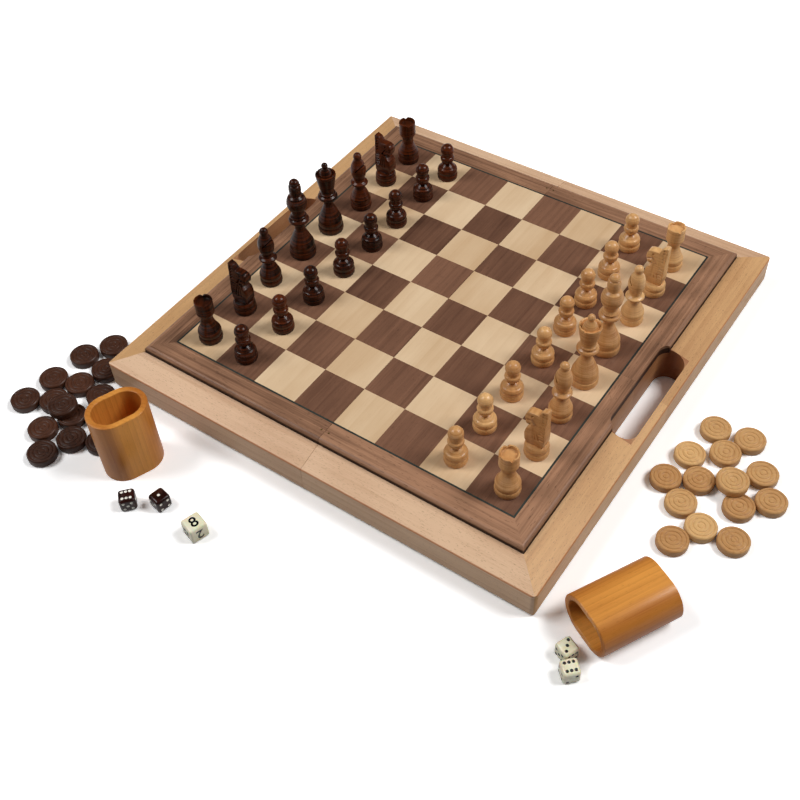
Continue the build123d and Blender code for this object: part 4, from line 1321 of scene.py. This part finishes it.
# ---- cups, dice and the doubling cube --------------------------------------------------------
@dataclass
class DiceCup:
    """Round-ended wooden dice cup.

    Attributes:
        node: its CAD node.
        turn: in degrees about Z.
        lying: whether it lies on its flat side, mouth to the front.
        length: across the mouth, in metres.
        width: across the mouth, in metres.
        height: in metres.
        wall: in metres.
        floor: in metres.
    """

    node: str
    turn: float
    lying: bool = False
    length: float = 0.045
    width: float = 0.033
    height: float = 0.059
    wall: float = 0.0045
    floor: float = 0.006

    def build(self) -> None:
        """Makes the cup and puts it in its place."""
        pattern = dressed(self.pattern(), Woods.cup)
        box, = solids_of(self.node)
        place = middle_place(box, self.turn, not self.lying)
        if self.lying:
            place = place @ Matrix.Rotation(math.radians(90), 4, "X")
            place = place @ Matrix.Translation((0.0, 0.0, -self.height / 2))
        set_out(f"carved_{self.node}", self.node, self.node, Woods.cup, [Copy(pattern, place)], 30.0)

    def pattern(self) -> bpy.types.Mesh:
        """The cup, mouth up, standing on z = 0."""
        stock = bmesh.new()
        bmesh.ops.create_circle(stock, cap_ends=True, radius=self.width / 2, segments=72)
        bmesh.ops.rotate(
            stock, verts=stock.verts[:], cent=(0, 0, 0), matrix=Matrix.Rotation(math.pi / 72, 3, "Z"))
        for side in (-1, 1):
            end = [vert for vert in stock.verts if vert.co.x * side > 0]
            bmesh.ops.translate(stock, verts=end, vec=(side * (self.length - self.width) / 2, 0, 0))
        face = stock.faces[:][0]
        face = self.raised(stock, face, self.height)
        bmesh.ops.inset_region(stock, faces=[face], thickness=self.wall, use_even_offset=True)
        self.raised(stock, face, self.floor - self.height)
        bmesh.ops.recalc_face_normals(stock, faces=stock.faces[:])
        edges = [edge for edge in stock.edges if len(edge.link_faces) == 2
                 and edge.calc_face_angle(0.0) > math.radians(60)]
        rims = [edge for edge in edges if edge.verts[0].co.z > self.height - 1e-5]
        feet = [edge for edge in edges if edge.verts[0].co.z < 1e-5]
        inner = [edge for edge in edges if edge not in rims and edge not in feet]
        for group, offset in ((rims, 0.0007), (feet, 0.0016), (inner, 0.0012)):
            bevelled(stock, [edge for edge in group if edge.is_valid], offset, 3)
        return to_mesh(stock, "dice_cup")

    @staticmethod
    def raised(stock: bmesh.types.BMesh, face: bmesh.types.BMFace, rise: float) -> bmesh.types.BMFace:
        """Extrudes a face along Z and gives back the moved one."""
        drawn = bmesh.ops.extrude_discrete_faces(stock, faces=[face])
        top = drawn["faces"][0]
        bmesh.ops.translate(stock, verts=list(top.verts), vec=(0, 0, rise))
        return top


PIPS = {
    1: ((0, 0),),
    2: ((-1, -1), (1, 1)),
    3: ((-1, -1), (0, 0), (1, 1)),
    4: ((-1, -1), (-1, 1), (1, -1), (1, 1)),
    5: ((-1, -1), (-1, 1), (0, 0), (1, -1), (1, 1)),
    6: ((-1, -1), (0, -1), (1, -1), (-1, 1), (0, 1), (1, 1)),
}
UNDERSIDE = Matrix.Rotation(math.pi, 4, "X")
FRONT = Matrix.Rotation(math.pi / 2, 4, "X")
BACK = Matrix.Rotation(-math.pi / 2, 4, "X")
RIGHT = Matrix.Rotation(math.pi / 2, 4, "Y")
LEFT = Matrix.Rotation(-math.pi / 2, 4, "Y")


def soft_cube(side: float, rounding: float) -> bmesh.types.BMesh:
    """A cube about its centre with rounded edges and corners."""
    cube = bmesh.new()
    bmesh.ops.create_cube(cube, size=side)
    bevelled(cube, cube.edges[:], rounding, 5)
    return cube


@dataclass
class Dice:
    """Two dice of one colour, with painted pips.

    Attributes:
        node: their CAD node.
        resin: their finish.
        paint: the finish of the pips.
        throws: top face, front face and turn in degrees of each, from near to far.
        side: in metres.
        rounding: in metres.
        pip: radius of a pip, in metres.
        pip_depth: in metres.
        pitch: between the rows of pips, in metres.
    """

    node: str
    resin: Resin
    paint: Resin
    throws: tuple[tuple[int, int, float], ...]
    side: float = 0.012
    rounding: float = 0.0023
    pip: float = 0.00115
    pip_depth: float = 0.0005
    pitch: float = 0.0029

    def build(self) -> None:
        """Makes the dice and puts them where they fell."""
        copies = [
            Copy(self.die(top, front), middle_place(box, turn))
            for box, (top, front, turn) in zip(solids_of(self.node), self.throws)]
        set_out(f"cast_{self.node}", self.node, self.node, self.resin, copies, 40.0)

    def die(self, top: int, front: int) -> bpy.types.Mesh:
        """One die about its centre.

        Args:
            top: the number on top.
            front: the number towards -Y.

        Returns:
            Its mesh.
        """
        third = next(n for n in range(1, 7) if n not in (top, 7 - top, front, 7 - front))
        faces = {
            top: Matrix.Identity(4), 7 - top: UNDERSIDE, front: FRONT, 7 - front: BACK,
            third: RIGHT, 7 - third: LEFT,
        }
        ball = (self.pip ** 2 + self.pip_depth ** 2) / (2 * self.pip_depth)
        height = self.side / 2 + ball - self.pip_depth
        hollows = []
        for number, turn in faces.items():
            for across, along in PIPS[number]:
                hollow = bmesh.new()
                bmesh.ops.create_uvsphere(hollow, u_segments=20, v_segments=14, radius=ball)
                spot = turn @ Matrix.Translation((across * self.pitch, along * self.pitch, height))
                bmesh.ops.transform(hollow, verts=hollow.verts[:], matrix=spot)
                hollows.append(hollow)
        body = dressed(to_mesh(soft_cube(self.side, self.rounding), "die"), self.resin)
        return cut_away(body, dressed(joined(hollows, "pips"), self.paint))


@dataclass
class DoublingCube:
    """The backgammon doubling cube, with its six powers of two.

    Attributes:
        node: its CAD node.
        turn: in degrees about Z.
        side: in metres.
        rounding: in metres.
        figure: height of the numbers, in metres.
        pair_size: size of a number of two figures, as a share of one.
        depth: of the engraving, in metres.
        weight: how much its strokes are thickened, in metres.
        numbers: what each face reads, how the face is turned and how the number is turned on it.
    """

    node: str = "doubling_cube"
    turn: float = 73.0
    side: float = 0.014
    rounding: float = 0.0018
    figure: float = 0.0088
    pair_size: float = 0.72
    depth: float = 0.00025
    weight: float = 0.00022
    numbers: tuple[tuple[str, Matrix, float], ...] = (
        ("8", Matrix.Identity(4), 0.0), ("2", FRONT, 180.0), ("4", BACK, 0.0),
        ("16", RIGHT, 90.0), ("32", LEFT, 0.0), ("64", UNDERSIDE, 0.0),
    )

    def build(self) -> None:
        """Makes the cube and puts it in its place."""
        body = dressed(to_mesh(soft_cube(self.side, self.rounding), "cube"), Castings.ivory_resin)
        engraved = cut_away(body, dressed(self.figures(), Castings.black_paint), crossing=True)
        box, = solids_of(self.node)
        place = middle_place(box, self.turn)
        set_out("engraved_doubling_cube", self.node, self.node, Castings.ivory_resin,
                [Copy(engraved, place)], 40.0)

    def figures(self) -> bpy.types.Mesh:
        """The numbers of all six faces, as one mesh to be cut out of the cube."""
        whole = bmesh.new()
        graph = bpy.context.evaluated_depsgraph_get()
        for text, face, turn in self.numbers:
            curve = bpy.data.curves.new("number", "FONT")
            curve.body = text
            curve.size = self.figure * 1.35 * (1.0 if len(text) == 1 else self.pair_size)
            curve.align_x = "CENTER"
            curve.align_y = "CENTER"
            curve.extrude = self.depth
            curve.offset = self.weight
            label = linked("number", curve)
            graph.update()
            mesh = bpy.data.meshes.new_from_object(label.evaluated_get(graph))
            first = len(whole.verts)
            whole.from_mesh(mesh)
            whole.verts.ensure_lookup_table()
            verts = whole.verts[first:]
            low = [min(vert.co[axis] for vert in verts) for axis in range(3)]
            high = [max(vert.co[axis] for vert in verts) for axis in range(3)]
            centre = Matrix.Translation([-(a + b) / 2 for a, b in zip(low, high)])
            spin = Matrix.Rotation(math.radians(turn), 4, "Z")
            lift = Matrix.Translation((0.0, 0.0, self.side / 2))
            bmesh.ops.transform(whole, verts=verts, matrix=face @ lift @ spin @ centre)
            bpy.data.objects.remove(label)
        return to_mesh(whole, "numbers")


# ---- studio ----------------------------------------------------------------------------------
@dataclass(frozen=True)
class Softbox:
    """A square softbox aimed at the board.

    Attributes:
        name: its name.
        azimuth: degrees, 0 in front of the near edge and 90 beside the light men.
        elevation: degrees above the floor.
        distance: metres from the board's middle.
        side: metres.
        power: watts.
    """

    name: str
    azimuth: float
    elevation: float
    distance: float
    side: float
    power: float

    def build(self, aim: Vector) -> None:
        """Hangs the softbox."""
        lamp = bpy.data.lights.new(self.name, "AREA")
        lamp.shape = "SQUARE"
        lamp.size = self.side
        lamp.energy = self.power
        box = linked(self.name, lamp)
        around, up = math.radians(self.azimuth), math.radians(self.elevation)
        away = Vector((math.sin(around) * math.cos(up), -math.cos(around) * math.cos(up), math.sin(up)))
        box.location = aim + away * self.distance
        box.rotation_mode = "QUATERNION"
        box.rotation_quaternion = (-away).to_track_quat("-Z", "Y")


@dataclass
class Studio:
    """Pale floor, white surround, softboxes and camera.

    Attributes:
        floor_z: height of the floor, in metres.
        eye: the camera's place.
        aim: where it points.
        roll: degrees that it leans to the left.
        lens: in millimetres, on a 36 mm sensor.
        lamps: the softboxes.
        fill: strength of the surround as light on the object.
        floor_seen: how pale the floor looks.
        floor_thrown: how pale it is to the light that it throws back.
        floor_glow: what is added to it towards the camera.
        mirrored_sky: heights where the surround starts and ends to dim in reflections, and its
            strength below and above them.
    """

    floor_z: float = -0.0015
    eye: tuple[float, float, float] = (0.3433, -0.5232, 0.6325)
    aim: tuple[float, float, float] = (0.0279, -0.1073, 0.0345)
    roll: float = -3.38
    lens: float = 49.5
    lamps: tuple[Softbox, ...] = (
        Softbox("left_softbox", -56.7, 52.0, 3.2, 1.3, 49.0),
        Softbox("right_softbox", 123.3, 52.0, 3.2, 1.3, 68.0),
    )
    fill: float = 0.06
    floor_seen: float = 1.5
    floor_thrown: float = 0.38
    floor_glow: float = 0.02
    mirrored_sky: tuple[float, float, float, float] = (0.02, 0.16, 1.0, 0.03)

    def build(self) -> None:
        """Sets up everything that isn't the object."""
        self.build_floor()
        self.build_world()
        for lamp in self.lamps:
            lamp.build(Vector((0.0, 0.0, 0.03)))
        self.build_camera()
        bpy.context.scene.view_settings.view_transform = "Standard"

    def build_floor(self) -> None:
        """Lays a wide plain floor that keeps the object's shadow."""
        sheet = bmesh.new()
        bmesh.ops.create_grid(sheet, x_segments=1, y_segments=1, size=12.0)
        bmesh.ops.translate(sheet, verts=sheet.verts[:], vec=(0, 0, self.floor_z))
        mesh = bpy.data.meshes.new("floor")
        sheet.to_mesh(mesh)
        sheet.free()
        material = bpy.data.materials.new("pale_floor")
        material.use_nodes = True
        wiring = Wiring(material.node_tree)
        rays = wiring.add("ShaderNodeLightPath")
        seen = wiring.math("MAXIMUM", rays.outputs["Is Camera Ray"], rays.outputs["Is Glossy Ray"])
        seen = wiring.math("MAXIMUM", seen, rays.outputs["Is Transmission Ray"])
        thrown, shown = ((pale,) * 3 + (1.0,) for pale in (self.floor_thrown, self.floor_seen))
        mirrored = wiring.mix(rays.outputs["Is Glossy Ray"], thrown, (1.0, 1.0, 1.0, 1.0))
        colour = wiring.mix(rays.outputs["Is Camera Ray"], mirrored, shown)
        plain = wiring.add("ShaderNodeBsdfDiffuse", {"Color": colour})
        glow = wiring.add("ShaderNodeEmission", {"Strength": wiring.math("MULTIPLY", seen, self.floor_glow)})
        both = wiring.add("ShaderNodeAddShader", {0: plain.outputs[0], 1: glow.outputs[0]})
        wiring.add("ShaderNodeOutputMaterial", {"Surface": both.outputs[0]})
        mesh.materials.append(material)
        linked("floor", mesh)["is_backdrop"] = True

    def build_world(self) -> None:
        """Surrounds the set with white that lights it gently."""
        world = bpy.data.worlds.new("surround")
        world.use_nodes = True
        bpy.context.scene.world = world
        wiring = Wiring(world.node_tree)
        rays = wiring.add("ShaderNodeLightPath")
        seen = wiring.math("MAXIMUM", rays.outputs["Is Camera Ray"], rays.outputs["Is Transmission Ray"])
        height = wiring.axis(wiring.add("ShaderNodeTexCoord").outputs["Generated"], "Z")
        mirrored = wiring.span(height, *self.mirrored_sky)
        lighting = wiring.add("ShaderNodeMix", {
            0: rays.outputs["Is Glossy Ray"], 2: self.fill, 3: mirrored}, data_type="FLOAT")
        strength = wiring.add("ShaderNodeMix", {0: seen, 2: lighting.outputs[0], 3: 1.0}, data_type="FLOAT")
        back = wiring.add("ShaderNodeBackground", {
            "Color": (1.0, 1.0, 1.0, 1.0), "Strength": strength.outputs[0]})
        wiring.add("ShaderNodeOutputWorld", {"Surface": back.outputs[0]})

    def build_camera(self) -> None:
        """Sets up the camera."""
        data = bpy.data.cameras.new("camera")
        data.lens = self.lens
        data.sensor_width = 36.0
        data.clip_start, data.clip_end = 0.01, 60.0
        camera = linked("camera", data)
        look = Vector(self.aim) - Vector(self.eye)
        camera.rotation_mode = "QUATERNION"
        level = look.to_track_quat("-Z", "Y").to_matrix().to_4x4()
        lean = Matrix.Rotation(math.radians(self.roll), 4, "Z")
        camera.rotation_quaternion = (level @ lean).to_quaternion()
        camera.location = self.eye
        bpy.context.scene.camera = camera


def main() -> None:
    """Builds and dresses every part in order."""
    logging.basicConfig(level=logging.INFO, format="%(name)s: %(message)s")
    Case().dress()
    Chessmen("dark", Woods.dark_men, 0.0).build()
    Chessmen("light", Woods.light_men, 180.0).build()
    Draughts("dark", Woods.dark_checkers).build()
    Draughts("light", Woods.light_checkers).build()
    DiceCup("upright_dice_cup", 68.0).build()
    DiceCup("lying_dice_cup", -28.0, lying=True).build()
    Dice("dark_dice", Castings.dark_resin, Castings.white_paint, ((6, 5, 48.0), (1, 4, 79.0))).build()
    Dice("light_dice", Castings.ivory_resin, Castings.black_paint, ((6, 2, 46.0), (3, 6, 66.0))).build()
    DoublingCube().build()
    Studio().build()
    boxes = {"cad": CAD_BOX, "visual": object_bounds()}
    {name: [list(corner) for corner in box] for name, box in boxes.items()}
    LOG.info("sizes written")


if __name__ == "__main__":
    main()
